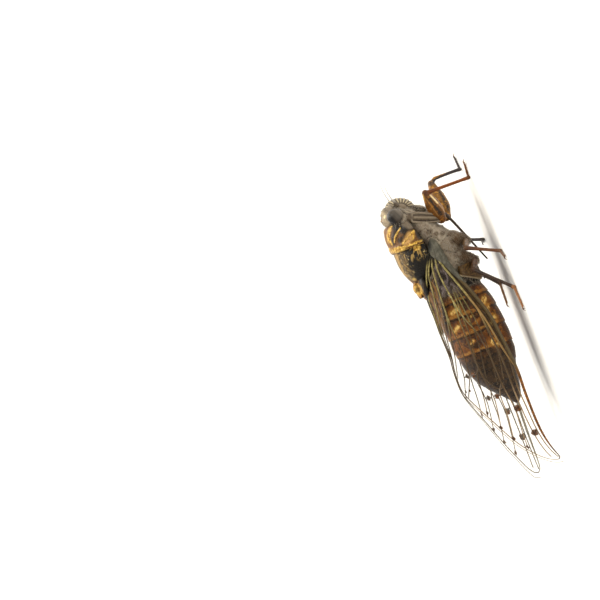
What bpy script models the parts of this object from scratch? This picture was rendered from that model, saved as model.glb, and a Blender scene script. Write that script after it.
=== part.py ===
"""A life-size manna cicada at rest with its wings folded over its back, as a still model.

The head points to +X, +Z is up and the six feet stand on Z = 0. The right side is at -Y.
Sizes are in millimetres, and a mesh is scaled to metres when it is made.
"""

import math

import bmesh
import bpy
import numpy as np
from mathutils import Vector
from mathutils.geometry import delaunay_2d_cdt

MM = 0.001
GAP = 0.25  # kept between neighbouring pieces

# Materials: colour, roughness.
FINISHES = {
    "head_cuticle": ((0.22, 0.19, 0.15), 0.60),
    "face_cuticle": ((0.30, 0.24, 0.17), 0.50),
    "eye": ((0.07, 0.06, 0.06), 0.20),
    "antenna": ((0.16, 0.14, 0.12), 0.50),
    "rostrum": ((0.09, 0.07, 0.06), 0.45),
    "pronotum": ((0.50, 0.30, 0.09), 0.40),
    "mesonotum": ((0.16, 0.11, 0.06), 0.45),
    "thorax": ((0.26, 0.22, 0.18), 0.70),
    "abdomen": ((0.34, 0.15, 0.05), 0.45),
    "operculum": ((0.24, 0.16, 0.10), 0.50),
    "forewing": ((0.62, 0.56, 0.40), 0.25),
    "hindwing": ((0.60, 0.55, 0.42), 0.25),
    "fore_leg": ((0.38, 0.18, 0.06), 0.40),
    "mid_leg": ((0.34, 0.12, 0.05), 0.40),
    "hind_leg": ((0.24, 0.11, 0.05), 0.40),
}

# The head. Its face is a wedge from between the feelers to the root of the beak.
HEAD_CENTRE, HEAD_RADII = (15.42, 0.0, 9.45), (1.50, 3.55, 1.88)
FACE_TOP, FACE_TIP = (15.5, 0.0, 8.4), (14.2, 0.0, 5.85)
FACE_HALF_WIDTH, FACE_DEPTH = (2.3, 0.8), (1.3, 0.42)  # at its top and at its tip
FACE_FORWARD = Vector((0.87, 0.0, -0.5))
NAPE_X = 14.65  # the head ends flat here
CLYPEUS_CENTRE, CLYPEUS_RADII = (16.02, 0.0, 8.79), (1.24, 1.62, 1.75)
CLYPEUS_LEAN = math.radians(21.5)
CLYPEUS_RIDGES, CLYPEUS_RIDGE_RISE, CLYPEUS_GROOVE_WIDTH = 9, 0.045, 0.12
EYE_CENTRE, EYE_RADII = (15.4, 3.72, 9.95), (0.86, 0.80, 0.95)
BROW_CENTRE, BROW_RADII = (16.3, 1.95, 9.95), (0.62, 0.72, 0.28)  # the ledge over each feeler
OCELLUS_RADIUS = 0.24
OCELLI = ((15.95, 0.0, 11.08), (15.35, 0.52, 11.28), (15.35, -0.52, 11.28))
ANTENNA_ROOT, ANTENNA_BEND, ANTENNA_TIP = (16.6, 2.25, 9.2), (17.35, 2.4, 9.5), (19.4, 2.65, 9.8)
ANTENNA_RADII = (0.27, 0.22, 0.07)
ROSTRUM_PATH = ((13.6, 0.0, 4.25), (12.7, 0.0, 3.66), (9.8, 0.0, 2.48), (6.85, 0.0, 1.3))  # after its root
ROSTRUM_RADII = (0.34, 0.3, 0.25, 0.25, 0.18)

# The two plates over the thorax, and the raised cross: (x, value) knots along the body.
NOTUM_BASE = ((14.9, 9.35), (13.4, 8.75), (11.2, 8.35), (9.0, 8.2), (7.6, 8.6), (6.6, 9.1))
PRONOTUM_TOP = ((14.4, 11.4), (14.0, 11.6), (12.9, 11.78), (11.9, 11.7), (11.2, 11.58))
PRONOTUM_WIDTH = ((14.4, 3.85), (13.6, 4.2), (12.2, 4.55), (11.2, 4.75))
PRONOTUM_STATIONS = (14.4, 14.1, 13.6, 13.0, 12.35, 12.05, 11.8, 11.25)
PRONOTUM_COLLAR = (12.0, 0.025)  # it starts here, and stands out by this share
# The grooves on each side: angle off the middle at x = 13, how it grows with x, and width.
PRONOTUM_GROOVES = ((0.42, 0.10, 0.11), (0.85, 0.16, 0.12))
PRONOTUM_GROOVE_DEPTH, PRONOTUM_GROOVE_RANGE = 0.035, (12.2, 14.3)
MESONOTUM_TOP = ((11.0, 11.45), (9.9, 11.42), (8.8, 11.22), (7.8, 10.85), (6.9, 10.35))
MESONOTUM_WIDTH = ((11.0, 4.25), (10.0, 4.3), (9.0, 4.0), (8.0, 3.1), (7.3, 2.2), (6.9, 1.5))
MESONOTUM_STATIONS = (11.0, 10.7, 9.9, 9.0, 8.2, 7.5, 6.95)
CROSS_CENTRE, CROSS_KNOB_RADII = (6.45, 0.0, 10.15), (0.8, 0.85, 0.62)
CROSS_ARM, CROSS_ARM_RADII = 1.05, (0.38, 0.34, 0.24)

THORAX_WIDTH = ((14.4, 2.9), (13.0, 3.75), (11.5, 4.1), (10.0, 4.2), (8.0, 4.1), (6.5, 3.7), (4.95, 3.55))
THORAX_BOTTOM = ((14.4, 6.7), (13.3, 6.0), (12.4, 5.1), (11.2, 4.3), (10.0, 3.8), (8.0, 3.35), (4.95, 3.1))
BODY_JOIN, THORAX_POWER = 4.95, 2.5
THORAX_MIDDLE = 0.42  # its widest height, as a share down from the plates
THORAX_STATIONS = (14.4, 13.9, 13.0, 12.0, 11.0, 10.0, 9.0, 8.1, 7.2, 6.3, 5.5, BODY_JOIN)

# The abdomen: its profile, and where one segment ends and the next begins.
ABDOMEN_TOP = (
    (4.7, 8.65), (3.0, 8.95), (0.5, 9.05), (-1.5, 9.0), (-3.3, 8.72), (-4.8, 8.35),
    (-6.2, 7.75), (-7.2, 7.05), (-8.8, 5.6), (-10.1, 4.35),
)
ABDOMEN_BOTTOM = (
    (4.7, 3.0), (2.9, 2.4), (1.1, 2.1), (-1.8, 1.87), (-3.5, 1.9), (-5.0, 2.2), (-6.5, 2.68),
    (-8.7, 3.05), (-9.6, 3.35), (-10.1, 3.7),
)
ABDOMEN_WIDTH = (
    (4.7, 3.6), (3.0, 3.75), (0.5, 3.8), (-1.8, 3.75), (-4.0, 3.45), (-6.0, 2.9), (-8.0, 1.95),
    (-9.5, 0.95), (-10.1, 0.42),
)
SEGMENT_ENDS = (4.70, 3.35, 1.55, -0.75, -3.05, -5.25, -7.15, -8.75)
BODY_END = -10.1
SEGMENT_NAMES = tuple(f"abdomen_{n}" for n in range(1, 8)) + ("abdomen_tip",)
SEGMENT_RIM, SEGMENT_STEP = 0.15, 0.3  # lengths of the raised hind rim and of the narrower front one
OPERCULUM_FRONT, OPERCULUM_THICK = 7.0, 0.5
OPERCULUM_BACK = ((0.0, 6.1), (0.35, 5.4), (0.7, 4.95), (1.0, 5.2))  # share from the flank to the middle, x
OPERCULUM_ANGLES = (math.radians(196), math.radians(262))

# The forewing is drawn flat: u runs from the hinge to the tip, v from the front edge side (-) to the back.
# Folded over the back, its cross section is an arc of an ellipse. The knots are (u, value).
HINGE_X, WING_LENGTH = 10.2, 29.6
WING_AXIS_ANGLE = math.radians(20.3)  # where v = 0 lies on the arc
WING_AXIS_Y = ((-1.0, 5.0), (4.0, 5.35), (8.0, 5.9), (13.0, 6.45), (17.0, 6.75), (23.0, 6.9), (30.0, 6.7))
WING_AXIS_Z = ((-1.0, 7.07), (0.0, 7.0), (10.0, 6.09), (20.0, 5.1), (30.0, 4.06))
WING_ARC_WIDTH = ((-1.0, 7.1), (9.0, 7.25), (16.0, 8.35), (30.0, 8.35))
WING_ARC_HEIGHT = (
    (-1.0, 5.4), (7.0, 5.4), (9.5, 5.7), (12.5, 6.1), (15.0, 6.8), (17.0, 7.05), (20.0, 6.8), (30.0, 6.75),
)
WING_ARC_MEAN = 0.91  # the arc's mean radius, as a share of its width
RIGHT_TIP_DROP, RIGHT_TIP_PULL, RIGHT_BEND_POWER = 2.0, 1.0, 9  # its tip is bent down
FOREWING_THICK, HINDWING_THICK = 0.5, 0.42
FOREWING_VEIN_HEIGHT, HINDWING_VEIN_HEIGHT = 0.2, 0.1
WING_CELL = 2.6  # the spacing of the points between its veins
FOREWING_OUTLINE = (
    (0.0, 0.1), (1.6, -0.55), (3.9, -1.25), (7.9, -2.45), (12.0, -2.85), (16.4, -2.55), (20.4, -1.95),
    (24.0, -1.4), (27.0, -0.95), (29.0, -0.6), (29.8, 0.1), (29.5, 0.9), (28.4, 1.55), (26.8, 2.3),
    (25.2, 3.1), (23.4, 3.9), (21.4, 4.9), (19.5, 6.3), (18.0, 7.45), (16.6, 8.0), (14.6, 7.75),
    (12.0, 7.15), (9.0, 6.8), (6.5, 6.1), (5.0, 5.0), (4.0, 3.7), (3.0, 2.3), (1.8, 1.2), (0.4, 0.8),
)
# Each vein: half width, then its points in (u, v).
FOREWING_VEINS = {
    "costa": (0.42, ((0.2, 0.25), (2.0, -0.35), (4.5, -1.15), (8.2, -2.3), (12.0, -2.65), (16.3, -2.3),
                     (20.4, -1.7), (24.4, -1.1), (28.7, -0.3))),
    "radius": (0.3, ((0.6, 0.45), (2.6, 0.25), (5.5, -0.7), (9.6, -1.6), (13.0, -1.5), (17.0, -1.0),
                     (20.7, -0.55), (24.2, -0.3), (28.5, 0.5))),
    "media": (0.28, ((0.6, 0.5), (2.8, 0.95), (5.5, 1.1), (8.3, 0.95), (11.2, 0.05), (14.5, 0.0),
                     (17.5, 0.25), (21.0, 0.35), (23.7, 1.0), (26.2, 2.05))),
    "media_2": (0.25, ((17.5, 0.25), (18.8, 1.2), (21.5, 1.75), (24.5, 2.95))),
    "media_3": (0.26, ((7.6, 1.1), (10.0, 1.75), (13.0, 2.0), (15.2, 2.3), (18.5, 2.2), (20.5, 2.75),
                       (22.7, 3.75))),
    "media_4": (0.25, ((15.0, 2.25), (15.7, 2.9), (18.2, 3.6), (20.7, 4.75))),
    "cubitus": (0.28, ((0.8, 0.6), (2.8, 1.75), (5.7, 2.75), (7.5, 3.2), (12.0, 3.6), (15.3, 4.2),
                       (16.8, 5.3), (17.9, 6.6))),
    "cubitus_2": (0.25, ((7.3, 3.15), (9.5, 4.2), (12.5, 5.5), (15.3, 7.0))),
    "claval": (0.25, ((2.6, 1.7), (4.75, 3.6), (7.3, 5.1), (10.0, 6.2), (12.9, 6.75))),
    "ambient": (0.25, ((12.9, 6.75), (14.8, 7.2), (16.6, 7.4), (17.9, 6.6), (19.6, 5.5), (21.5, 4.3),
                       (23.4, 3.35), (25.2, 2.5), (26.8, 1.7), (28.2, 1.0), (28.7, -0.3))),
    "cross_r": (0.25, ((24.2, -1.15), (24.4, -0.25))),
    "cross_rm": (0.25, ((20.9, -0.5), (21.1, 0.4))),
    "cross_m": (0.25, ((18.9, 1.2), (18.7, 2.2))),
    "cross_mcu": (0.25, ((15.6, 2.9), (15.5, 4.3))),
}
HINDWING_OUTLINE = (
    (3.2, 0.3), (4.5, -0.5), (7.0, -1.2), (10.0, -1.6), (13.0, -1.4), (16.0, -0.7), (18.0, 0.2),
    (18.6, 1.1), (18.0, 2.1), (16.3, 3.0), (14.0, 3.4), (11.0, 3.0), (8.5, 2.5), (6.0, 1.9), (4.2, 1.2),
)
HINDWING_VEINS = {
    "costa": (0.3, ((3.6, 0.35), (5.0, -0.25), (8.0, -1.0), (11.0, -1.2), (14.0, -0.9), (17.2, 0.3))),
    "radius": (0.26, ((3.6, 0.5), (6.5, 0.1), (10.0, -0.2), (14.0, 0.2), (17.4, 1.2))),
    "media": (0.26, ((4.0, 0.7), (7.5, 0.8), (11.0, 0.9), (16.2, 2.4))),
    "cubitus": (0.26, ((4.4, 0.9), (8.0, 1.5), (11.0, 1.9), (13.8, 2.9))),
}

# Each leg seen on the right side, y outwards: coxa root, hip and knee, then ankle and toe as (x, y).
COXA_ROOTS = {"fore": (14.55, 3.25, 8.3), "mid": (10.7, 2.75, 4.6), "hind": (8.0, 2.6, 4.3)}
LEG_POINTS = {
    "fore_R": ((13.2, 2.1, 4.85), (16.6, 2.95, 5.6), (16.5, 3.5), (18.1, 4.7)),
    "fore_L": ((13.25, 2.05, 3.9), (17.4, 3.15, 4.05), (17.8, 3.9), (19.2, 4.95)),
    "mid_R": ((9.75, 2.35, 3.1), (8.9, 6.3, 3.7), (7.15, 8.5), (6.4, 10.4)),
    "mid_L": ((9.95, 2.35, 3.05), (10.2, 6.4, 3.4), (9.1, 8.6), (8.8, 10.6)),
    "hind_R": ((7.2, 2.3, 2.95), (6.25, 5.6, 3.75), (2.6, 8.25), (0.2, 9.3)),
    "hind_L": ((7.25, 2.3, 2.95), (6.7, 5.7, 3.35), (3.5, 8.35), (1.1, 9.5)),
}
ANKLE_Z, TOE_Z = 0.22, 0.2  # the foot's middle line over the floor
TIBIA_BOW = {"fore_L": (0.18, Vector((0.38, 0.0, 0.05)))}  # share of the tibia, and its bend out there
# Radii along each segment, as (share of its length, radius).
COXA_RADII = {
    "fore": ((0.0, 0.55), (0.3, 0.72), (0.6, 0.58), (1.0, 0.42)),
    "mid": ((0.0, 0.85), (0.5, 0.8), (1.0, 0.6)),
    "hind": ((0.0, 0.9), (0.5, 0.85), (1.0, 0.6)),
}
FEMUR_RADII = {
    "fore": ((0.0, 0.62), (0.3, 0.88), (0.6, 0.8), (0.85, 0.56), (1.0, 0.42)),
    "mid": ((0.0, 0.38), (0.35, 0.46), (0.75, 0.38), (1.0, 0.32)),
    "hind": ((0.0, 0.4), (0.35, 0.48), (0.75, 0.38), (1.0, 0.32)),
}
TIBIA_RADII = ((0.0, 0.3), (0.18, 0.27), (0.5, 0.25), (0.8, 0.25), (1.0, 0.28))
TARSUS_RADII = ((0.0, 0.27), (0.3, 0.25), (0.62, 0.25), (0.8, 0.25), (1.0, 0.25))
CLAW_LENGTH, CLAW_RADII, CLAW_SPREAD = 0.65, (0.13, 0.11, 0.05), math.radians(28)
CLAW_RISE, CLAW_DROP = 0.06, 0.12  # at its bend and at its tip
# Spines: share of the segment where each one stands, length, radius.
FEMUR_SPINES = ((0.3, 1.25, 0.34), (0.56, 1.1, 0.24), (0.76, 0.85, 0.18))
TIBIA_SPINES = ((0.45, 0.7, 0.16), (0.65, 0.7, 0.16), (0.88, 0.75, 0.16))
FEMUR_SPINE_WAY = (0.35, 0.0, -1.0)
TIBIA_SPINE_WAYS = ((-0.9, 0.35, -0.2), (-0.2, 1.0, 0.35), (-0.9, -0.3, -0.3))  # y outwards
SPINE_TIP_RADIUS = 0.05
SMOOTH_ANGLE = math.radians(40)  # edges sharper than this stay sharp


def smooth(knots):
    """A smooth function through (x, value) knots, level beyond both ends and with no overshoot."""
    knots = sorted(knots)
    xs = np.array([k[0] for k in knots], float)
    ys = np.array([k[1] for k in knots], float)
    rise = np.diff(ys) / np.diff(xs)
    slope = np.zeros(len(xs))
    slope[0], slope[-1] = rise[0], rise[-1]
    for i in range(1, len(xs) - 1):
        if rise[i - 1] * rise[i] > 0:
            slope[i] = 2 * rise[i - 1] * rise[i] / (rise[i - 1] + rise[i])

    def value(x):
        x = min(max(x, xs[0]), xs[-1])
        i = min(max(int(np.searchsorted(xs, x)) - 1, 0), len(xs) - 2)
        h = xs[i + 1] - xs[i]
        t = (x - xs[i]) / h
        return float(
            ys[i] * (1 + 2 * t) * (1 - t) ** 2 + ys[i + 1] * t * t * (3 - 2 * t)
            + h * slope[i] * t * (1 - t) ** 2 + h * slope[i + 1] * t * t * (t - 1)
        )

    return value


def curve_points(points, step, closed=False):
    """Points about one step apart on a smooth curve through the given ones."""
    pts = [np.array(p, float) for p in points]
    n = len(pts)
    spans = n if closed else n - 1
    found = []
    for i in range(spans):
        p1, p2 = pts[i], pts[(i + 1) % n]
        p0 = pts[i - 1] if closed or i > 0 else 2 * p1 - p2
        p3 = pts[(i + 2) % n] if closed or i + 2 < n else 2 * p2 - p1
        count = max(1, round(np.linalg.norm(p2 - p1) / step))
        for k in range(count):
            t = k / count
            found.append(
                0.5 * (2 * p1 + (p2 - p0) * t + (2 * p0 - 5 * p1 + 4 * p2 - p3) * t * t
                       + (3 * p1 - p0 - 3 * p2 + p3) * t ** 3)
            )
    if not closed:
        found.append(pts[-1])
    return found


def material(finish):
    """The Principled material of one finish, made once."""
    if finish in bpy.data.materials:
        return bpy.data.materials[finish]
    colour, rough = FINISHES[finish]
    made = bpy.data.materials.new(finish)
    made.use_nodes = True
    shader = made.node_tree.nodes["Principled BSDF"]
    shader.inputs["Base Color"].default_value = (*colour, 1)
    shader.inputs["Roughness"].default_value = rough
    shader.inputs["Metallic"].default_value = 0
    made.diffuse_color = (*colour, 1)
    return made


def add_mesh(name, points, faces, finish):
    """One object from points in millimetres, with its faces turned outwards."""
    bm = bmesh.new()
    verts = [bm.verts.new([c * MM for c in p]) for p in points]
    for face in faces:
        bm.faces.new([verts[i] for i in face])
    bmesh.ops.recalc_face_normals(bm, faces=bm.faces)
    mesh = bpy.data.meshes.new(name)
    bm.to_mesh(mesh)
    bm.free()
    mesh.materials.append(material(finish))
    mesh.shade_smooth()
    mesh.set_sharp_from_angle(angle=SMOOTH_ANGLE)
    obj = bpy.data.objects.new(name, mesh)
    bpy.context.scene.collection.objects.link(obj)
    return obj


def loft(name, rings, finish):
    """A closed body through rings of equal length, with a flat cap at each end."""
    count = len(rings[0])
    points = [p for ring in rings for p in ring]
    faces = []
    for i in range(len(rings) - 1):
        for j in range(count):
            k = (j + 1) % count
            faces.append((i * count + j, i * count + k, (i + 1) * count + k, (i + 1) * count + j))
    faces.append(tuple(range(count - 1, -1, -1)))
    faces.append(tuple((len(rings) - 1) * count + j for j in range(count)))
    return add_mesh(name, points, faces, finish)


def ellipsoid(name, centre, radii, finish, around=20, along=10, lean=0.0, ridges=None):
    """An ellipsoid with its poles on Y, leaning about Y. ridges raises it by the angle round Y."""
    points = []
    for i in range(1, along):
        polar = math.pi * i / along
        for j in range(around):
            turn = 2 * math.pi * j / around
            grow = 1 + (ridges(polar, turn) if ridges else 0)
            x = radii[0] * math.sin(polar) * math.cos(turn) * grow
            z = radii[2] * math.sin(polar) * math.sin(turn) * grow
            y = radii[1] * math.cos(polar)
            points.append((
                centre[0] + x * math.cos(lean) + z * math.sin(lean),
                centre[1] + y,
                centre[2] - x * math.sin(lean) + z * math.cos(lean),
            ))
    faces = []
    for i in range(along - 2):
        for j in range(around):
            k = (j + 1) % around
            faces.append((i * around + j, i * around + k, (i + 1) * around + k, (i + 1) * around + j))
    for pole, ring in ((radii[1], 0), (-radii[1], along - 2)):
        points.append((centre[0], centre[1] + pole, centre[2]))
        for j in range(around):
            faces.append((ring * around + j, ring * around + (j + 1) % around, len(points) - 1))
    return add_mesh(name, points, faces, finish)


def tube(name, path, radii, finish, sides=8, planes=(None, None), floor=False):
    """A round bar along a path. planes holds the mitre plane, as (point, normal), of each end."""
    pts = [Vector(p) for p in path]
    ahead = [(pts[min(i + 1, len(pts) - 1)] - pts[max(i - 1, 0)]).normalized() for i in range(len(pts))]
    across = ahead[0].cross(Vector((0, 0, 1)))
    if across.length < 0.1:
        across = ahead[0].cross(Vector((0, 1, 0)))
    rings = []
    for i, (point, radius) in enumerate(zip(pts, radii)):
        across = (across - across.dot(ahead[i]) * ahead[i]).normalized()
        other = ahead[i].cross(across)
        plane = planes[0] if i == 0 else planes[1] if i == len(pts) - 1 else None
        ring = []
        for j in range(sides):
            turn = 2 * math.pi * (j + 0.5) / sides
            spot = point + radius * (math.cos(turn) * across + math.sin(turn) * other)
            if plane:
                spot += ahead[i] * ((Vector(plane[0]) - spot).dot(plane[1]) / ahead[i].dot(plane[1]))
            if floor:
                spot.z = max(spot.z, 0.0)
            ring.append(tuple(spot))
        rings.append(ring)
    return loft(name, rings, finish)


def boolean(obj, others, operation, solver="EXACT"):
    """Joins others to obj, or cuts them from it, and keeps the largest closed surface."""
    group = bpy.data.collections.new(obj.name + "_pieces")
    for other in others:
        group.objects.link(other)
    modifier = obj.modifiers.new("join", "BOOLEAN")
    modifier.operation = operation
    modifier.operand_type = "COLLECTION"
    modifier.collection = group
    modifier.solver = solver
    bpy.context.view_layer.update()
    graph = bpy.context.evaluated_depsgraph_get()
    mesh = bpy.data.meshes.new_from_object(obj.evaluated_get(graph))
    obj.modifiers.clear()
    obj.data = mesh
    for other in others:
        bpy.data.objects.remove(other)
    bpy.data.collections.remove(group)
    keep_largest(mesh)
    mesh.set_sharp_from_angle(angle=SMOOTH_ANGLE)
    return obj


def keep_largest(mesh):
    """Drops every closed surface of the mesh but the one with the most faces."""
    bm = bmesh.new()
    bm.from_mesh(mesh)
    left = set(bm.verts)
    islands = []
    while left:
        stack = [left.pop()]
        island = set(stack)
        while stack:
            for edge in stack.pop().link_edges:
                for vert in edge.verts:
                    if vert in left:
                        left.discard(vert)
                        island.add(vert)
                        stack.append(vert)
        islands.append(island)
    biggest = max(islands, key=len)
    bmesh.ops.delete(bm, geom=[v for v in bm.verts if v not in biggest], context="VERTS")
    bmesh.ops.triangulate(bm, faces=bm.faces)
    bm.to_mesh(mesh)
    bm.free()


def oval(x, centre_z, width, top, bottom, sides=24, power=2.2):
    """One closed ring across the body at x, wider and deeper than an ellipse by its power."""
    ring = []
    for j in range(sides):
        turn = 2 * math.pi * (j + 0.5) / sides
        c, s = math.cos(turn), math.sin(turn)
        height = top - centre_z if s > 0 else centre_z - bottom
        ring.append((
            x,
            width * math.copysign(abs(c) ** (2 / power), c),
            centre_z + height * math.copysign(abs(s) ** (2 / power), s),
        ))
    return ring


def shield_ring(x, base, width, top, sides=18, power=2.3, relief=None):
    """A half ring over the back at x, closed by a flat base."""
    ring = []
    for j in range(sides + 1):
        turn = math.pi * j / sides
        c, s = math.cos(turn), math.sin(turn)
        grow = 1 + (relief(x, turn) if relief else 0)
        ring.append((
            x,
            width * math.copysign(abs(c) ** (2 / power), c) * grow,
            base + (top - base) * abs(s) ** (2 / power) * grow,
        ))
    return ring


def pronotum_relief(x, turn):
    """Two oblique grooves on each side, and the raised collar along the hind margin."""
    if x < PRONOTUM_COLLAR[0]:
        return PRONOTUM_COLLAR[1]
    if not PRONOTUM_GROOVE_RANGE[0] < x < PRONOTUM_GROOVE_RANGE[1]:
        return 0.0
    aside = abs(turn - math.pi / 2)
    depth = sum(
        math.exp(-(((aside - place - growth * (x - 13)) / width) ** 2))
        for place, growth, width in PRONOTUM_GROOVES
    )
    return -PRONOTUM_GROOVE_DEPTH * depth


def eye_room(side):
    """An eye larger all round by the gap, to cut room for it."""
    x, y, z = EYE_CENTRE
    return ellipsoid("eye_room", (x, side * y, z), [r + GAP for r in EYE_RADII], "eye", 18, 12)


def make_pronotum():
    base, width, top = smooth(NOTUM_BASE), smooth(PRONOTUM_WIDTH), smooth(PRONOTUM_TOP)
    rings = [
        shield_ring(x, base(x), width(x), top(x), sides=26, relief=pronotum_relief)
        for x in PRONOTUM_STATIONS
    ]
    plate = loft("pronotum", rings, "pronotum")
    boolean(plate, [eye_room(side) for side in (-1, 1)], "DIFFERENCE")


def make_mesonotum():
    """The domed plate over the wing roots, and the raised cross behind it."""
    base, width, top = smooth(NOTUM_BASE), smooth(MESONOTUM_WIDTH), smooth(MESONOTUM_TOP)
    rings = [shield_ring(x, base(x), width(x), top(x), sides=22) for x in MESONOTUM_STATIONS]
    plate = loft("mesonotum", rings, "mesonotum")
    cx, _, cz = CROSS_CENTRE
    pieces = [ellipsoid("cross_knob", CROSS_CENTRE, CROSS_KNOB_RADII, "mesonotum", 14, 8)]
    for side in (-1, 1):
        for way in (-1, 1):
            end = (cx + way * CROSS_ARM, side * CROSS_ARM, cz - 0.08 - 0.12 * way)
            path = ((cx, 0.0, cz + 0.12), ((cx + end[0]) / 2, end[1] / 2, cz + 0.1), end)
            pieces.append(tube("cross_arm", path, CROSS_ARM_RADII, "mesonotum", 6))
    boolean(plate, pieces, "UNION")


def thorax_ring(x):
    """The flanks and breast below the back plates, a ring that stays under them by the gap."""
    base = smooth(NOTUM_BASE)(x) - GAP
    bottom = smooth(THORAX_BOTTOM)(x)
    centre = base - THORAX_MIDDLE * (base - bottom)
    return oval(x, centre, smooth(THORAX_WIDTH)(x), base, bottom, power=THORAX_POWER)


def grown(path, radii, by, spare=(0.0, 0.0)):
    """The same bar, larger all round and longer by the spare lengths too, to cut room for it."""
    ends = []
    for end, inner, more in ((path[0], path[1], spare[0]), (path[-1], path[-2], spare[1])):
        outward = (Vector(end) - Vector(inner)).normalized()
        ends.append(tuple(Vector(end) + outward * (by + more)))
    path = [ends[0], *path[1:-1], ends[1]]
    return tube("room", path, [r + by for r in radii], "thorax", 8)


def along(start, stop, shares):
    a, b = Vector(start), Vector(stop)
    return [tuple(a.lerp(b, share)) for share, _ in shares]


def leg_points(leg):
    """Coxa root, hip, knee, ankle and toe of a leg, on its own side."""
    side = -1 if leg.endswith("R") else 1
    hip, knee, ankle, toe = LEG_POINTS[leg]
    points = (COXA_ROOTS[leg.split("_")[0]], hip, knee, (*ankle, ANKLE_Z), (*toe, TOE_Z))
    return [(x, side * y, z) for x, y, z in points]


def coxa_bar(leg):
    """The path and radii of a coxa, and the larger ones that clear its socket."""
    root, hip = leg_points(leg)[:2]
    shares = COXA_RADII[leg.split("_")[0]]
    return along(root, hip, shares), [r for _, r in shares]


def make_thorax():
    body = loft("thorax", [thorax_ring(x) for x in THORAX_STATIONS], "thorax")
    boolean(body, [grown(*coxa_bar(leg), GAP) for leg in LEG_POINTS], "DIFFERENCE")


def face_wedge():
    """The sides of the face, narrowing from the cranium to the root of the beak."""
    rings = []
    for share in (0.0, 0.35, 0.7, 1.0):
        centre = Vector(FACE_TOP).lerp(Vector(FACE_TIP), share)
        half = FACE_HALF_WIDTH[0] + (FACE_HALF_WIDTH[1] - FACE_HALF_WIDTH[0]) * share ** 1.2
        deep = FACE_DEPTH[0] + (FACE_DEPTH[1] - FACE_DEPTH[0]) * share
        turns = [2 * math.pi * (j + 0.5) / 14 for j in range(14)]
        rings.append([
            tuple(centre + FACE_FORWARD * deep * math.sin(turn) + Vector((0, half * math.cos(turn), 0)))
            for turn in turns
        ])
    return loft("face", rings, "head_cuticle")


def make_head():
    """Cranium, face wedge, brows and ocelli in one piece, with room cut for its neighbours."""
    head = ellipsoid("head", HEAD_CENTRE, HEAD_RADII, "head_cuticle", 26, 16)
    pieces = [face_wedge()]
    pieces += [
        ellipsoid("ocellus", spot, (OCELLUS_RADIUS,) * 3, "head_cuticle", 8, 6) for spot in OCELLI
    ]
    for side in (-1, 1):
        x, y, z = BROW_CENTRE
        pieces.append(ellipsoid("brow", (x, side * y, z), BROW_RADII, "head_cuticle", 12, 8))
    boolean(head, pieces, "UNION")
    room = [clypeus("clypeus_room", GAP, 0.0)]
    for side in (-1, 1):
        room.append(eye_room(side))
        x, y, z = ANTENNA_ROOT
        room.append(ellipsoid("socket", (x, side * y, z), (ANTENNA_RADII[0] + 1.2 * GAP,) * 3, "eye", 10, 8))
    for leg in ("fore_L", "fore_R"):
        room.append(grown(*coxa_bar(leg), GAP))
    room.append(loft("nape", [oval(NAPE_X - back, 9.0, 6.0, 12.5, 4.4, 12) for back in (0.0, 3.0)], "eye"))
    boolean(head, room, "DIFFERENCE")


def clypeus(name, grow, ridge_rise):
    """The swollen, cross-ridged front of the face, with a groove down its middle."""

    def ridges(polar, turn):
        front = max(0.0, math.cos(turn)) * math.sin(polar) ** 2
        wave = math.cos(CLYPEUS_RIDGES * 2 * turn)
        groove = math.exp(-(((polar - math.pi / 2) / CLYPEUS_GROOVE_WIDTH) ** 2))
        return front * ridge_rise * (wave * (1 - groove) - 0.6 * groove)

    radii = [r + grow for r in CLYPEUS_RADII]
    around = 36 if ridge_rise else 16
    shape = ridges if ridge_rise else None
    return ellipsoid(name, CLYPEUS_CENTRE, radii, "face_cuticle", around, 12, CLYPEUS_LEAN, shape)


def make_face_parts():
    clypeus("postclypeus", 0.0, CLYPEUS_RIDGE_RISE)
    for side, tag in ((-1, "R"), (1, "L")):
        x, y, z = EYE_CENTRE
        ellipsoid("eye_" + tag, (x, side * y, z), EYE_RADII, "eye", 18, 12)
        path = [(px, side * py, pz) for px, py, pz in (ANTENNA_ROOT, ANTENNA_BEND, ANTENNA_TIP)]
        tube("antenna_" + tag, path, ANTENNA_RADII, "antenna", 6)
    way = (Vector(FACE_TIP) - Vector(FACE_TOP)).normalized()
    root = Vector(FACE_TIP) + way * GAP
    tube("rostrum", (root, *ROSTRUM_PATH), ROSTRUM_RADII, "rostrum", 8)


def abdomen_ring(x, scale):
    top, bottom, width = smooth(ABDOMEN_TOP)(x), smooth(ABDOMEN_BOTTOM)(x), smooth(ABDOMEN_WIDTH)(x)
    centre, half = (top + bottom) / 2, (top - bottom) / 2 * scale
    return oval(x, centre, width * scale, centre + half, centre - half)


def make_abdomen():
    """Eight telescoping pieces, each with a narrower front rim and a raised hind rim."""
    ends = SEGMENT_ENDS + (BODY_END,)
    for name, front, back in zip(SEGMENT_NAMES, ends[:-1], ends[1:]):
        last = name == SEGMENT_NAMES[-1]
        stop = back if last else back + GAP
        stations = (
            (front, 0.94),
            (front - SEGMENT_STEP, 0.975),
            ((front + stop) / 2, 0.985),
            (stop + SEGMENT_RIM, 1.0),
            (stop, 0.6 if last else 0.97),
        )
        loft(name, [abdomen_ring(x, scale) for x, scale in stations], "abdomen")


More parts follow.
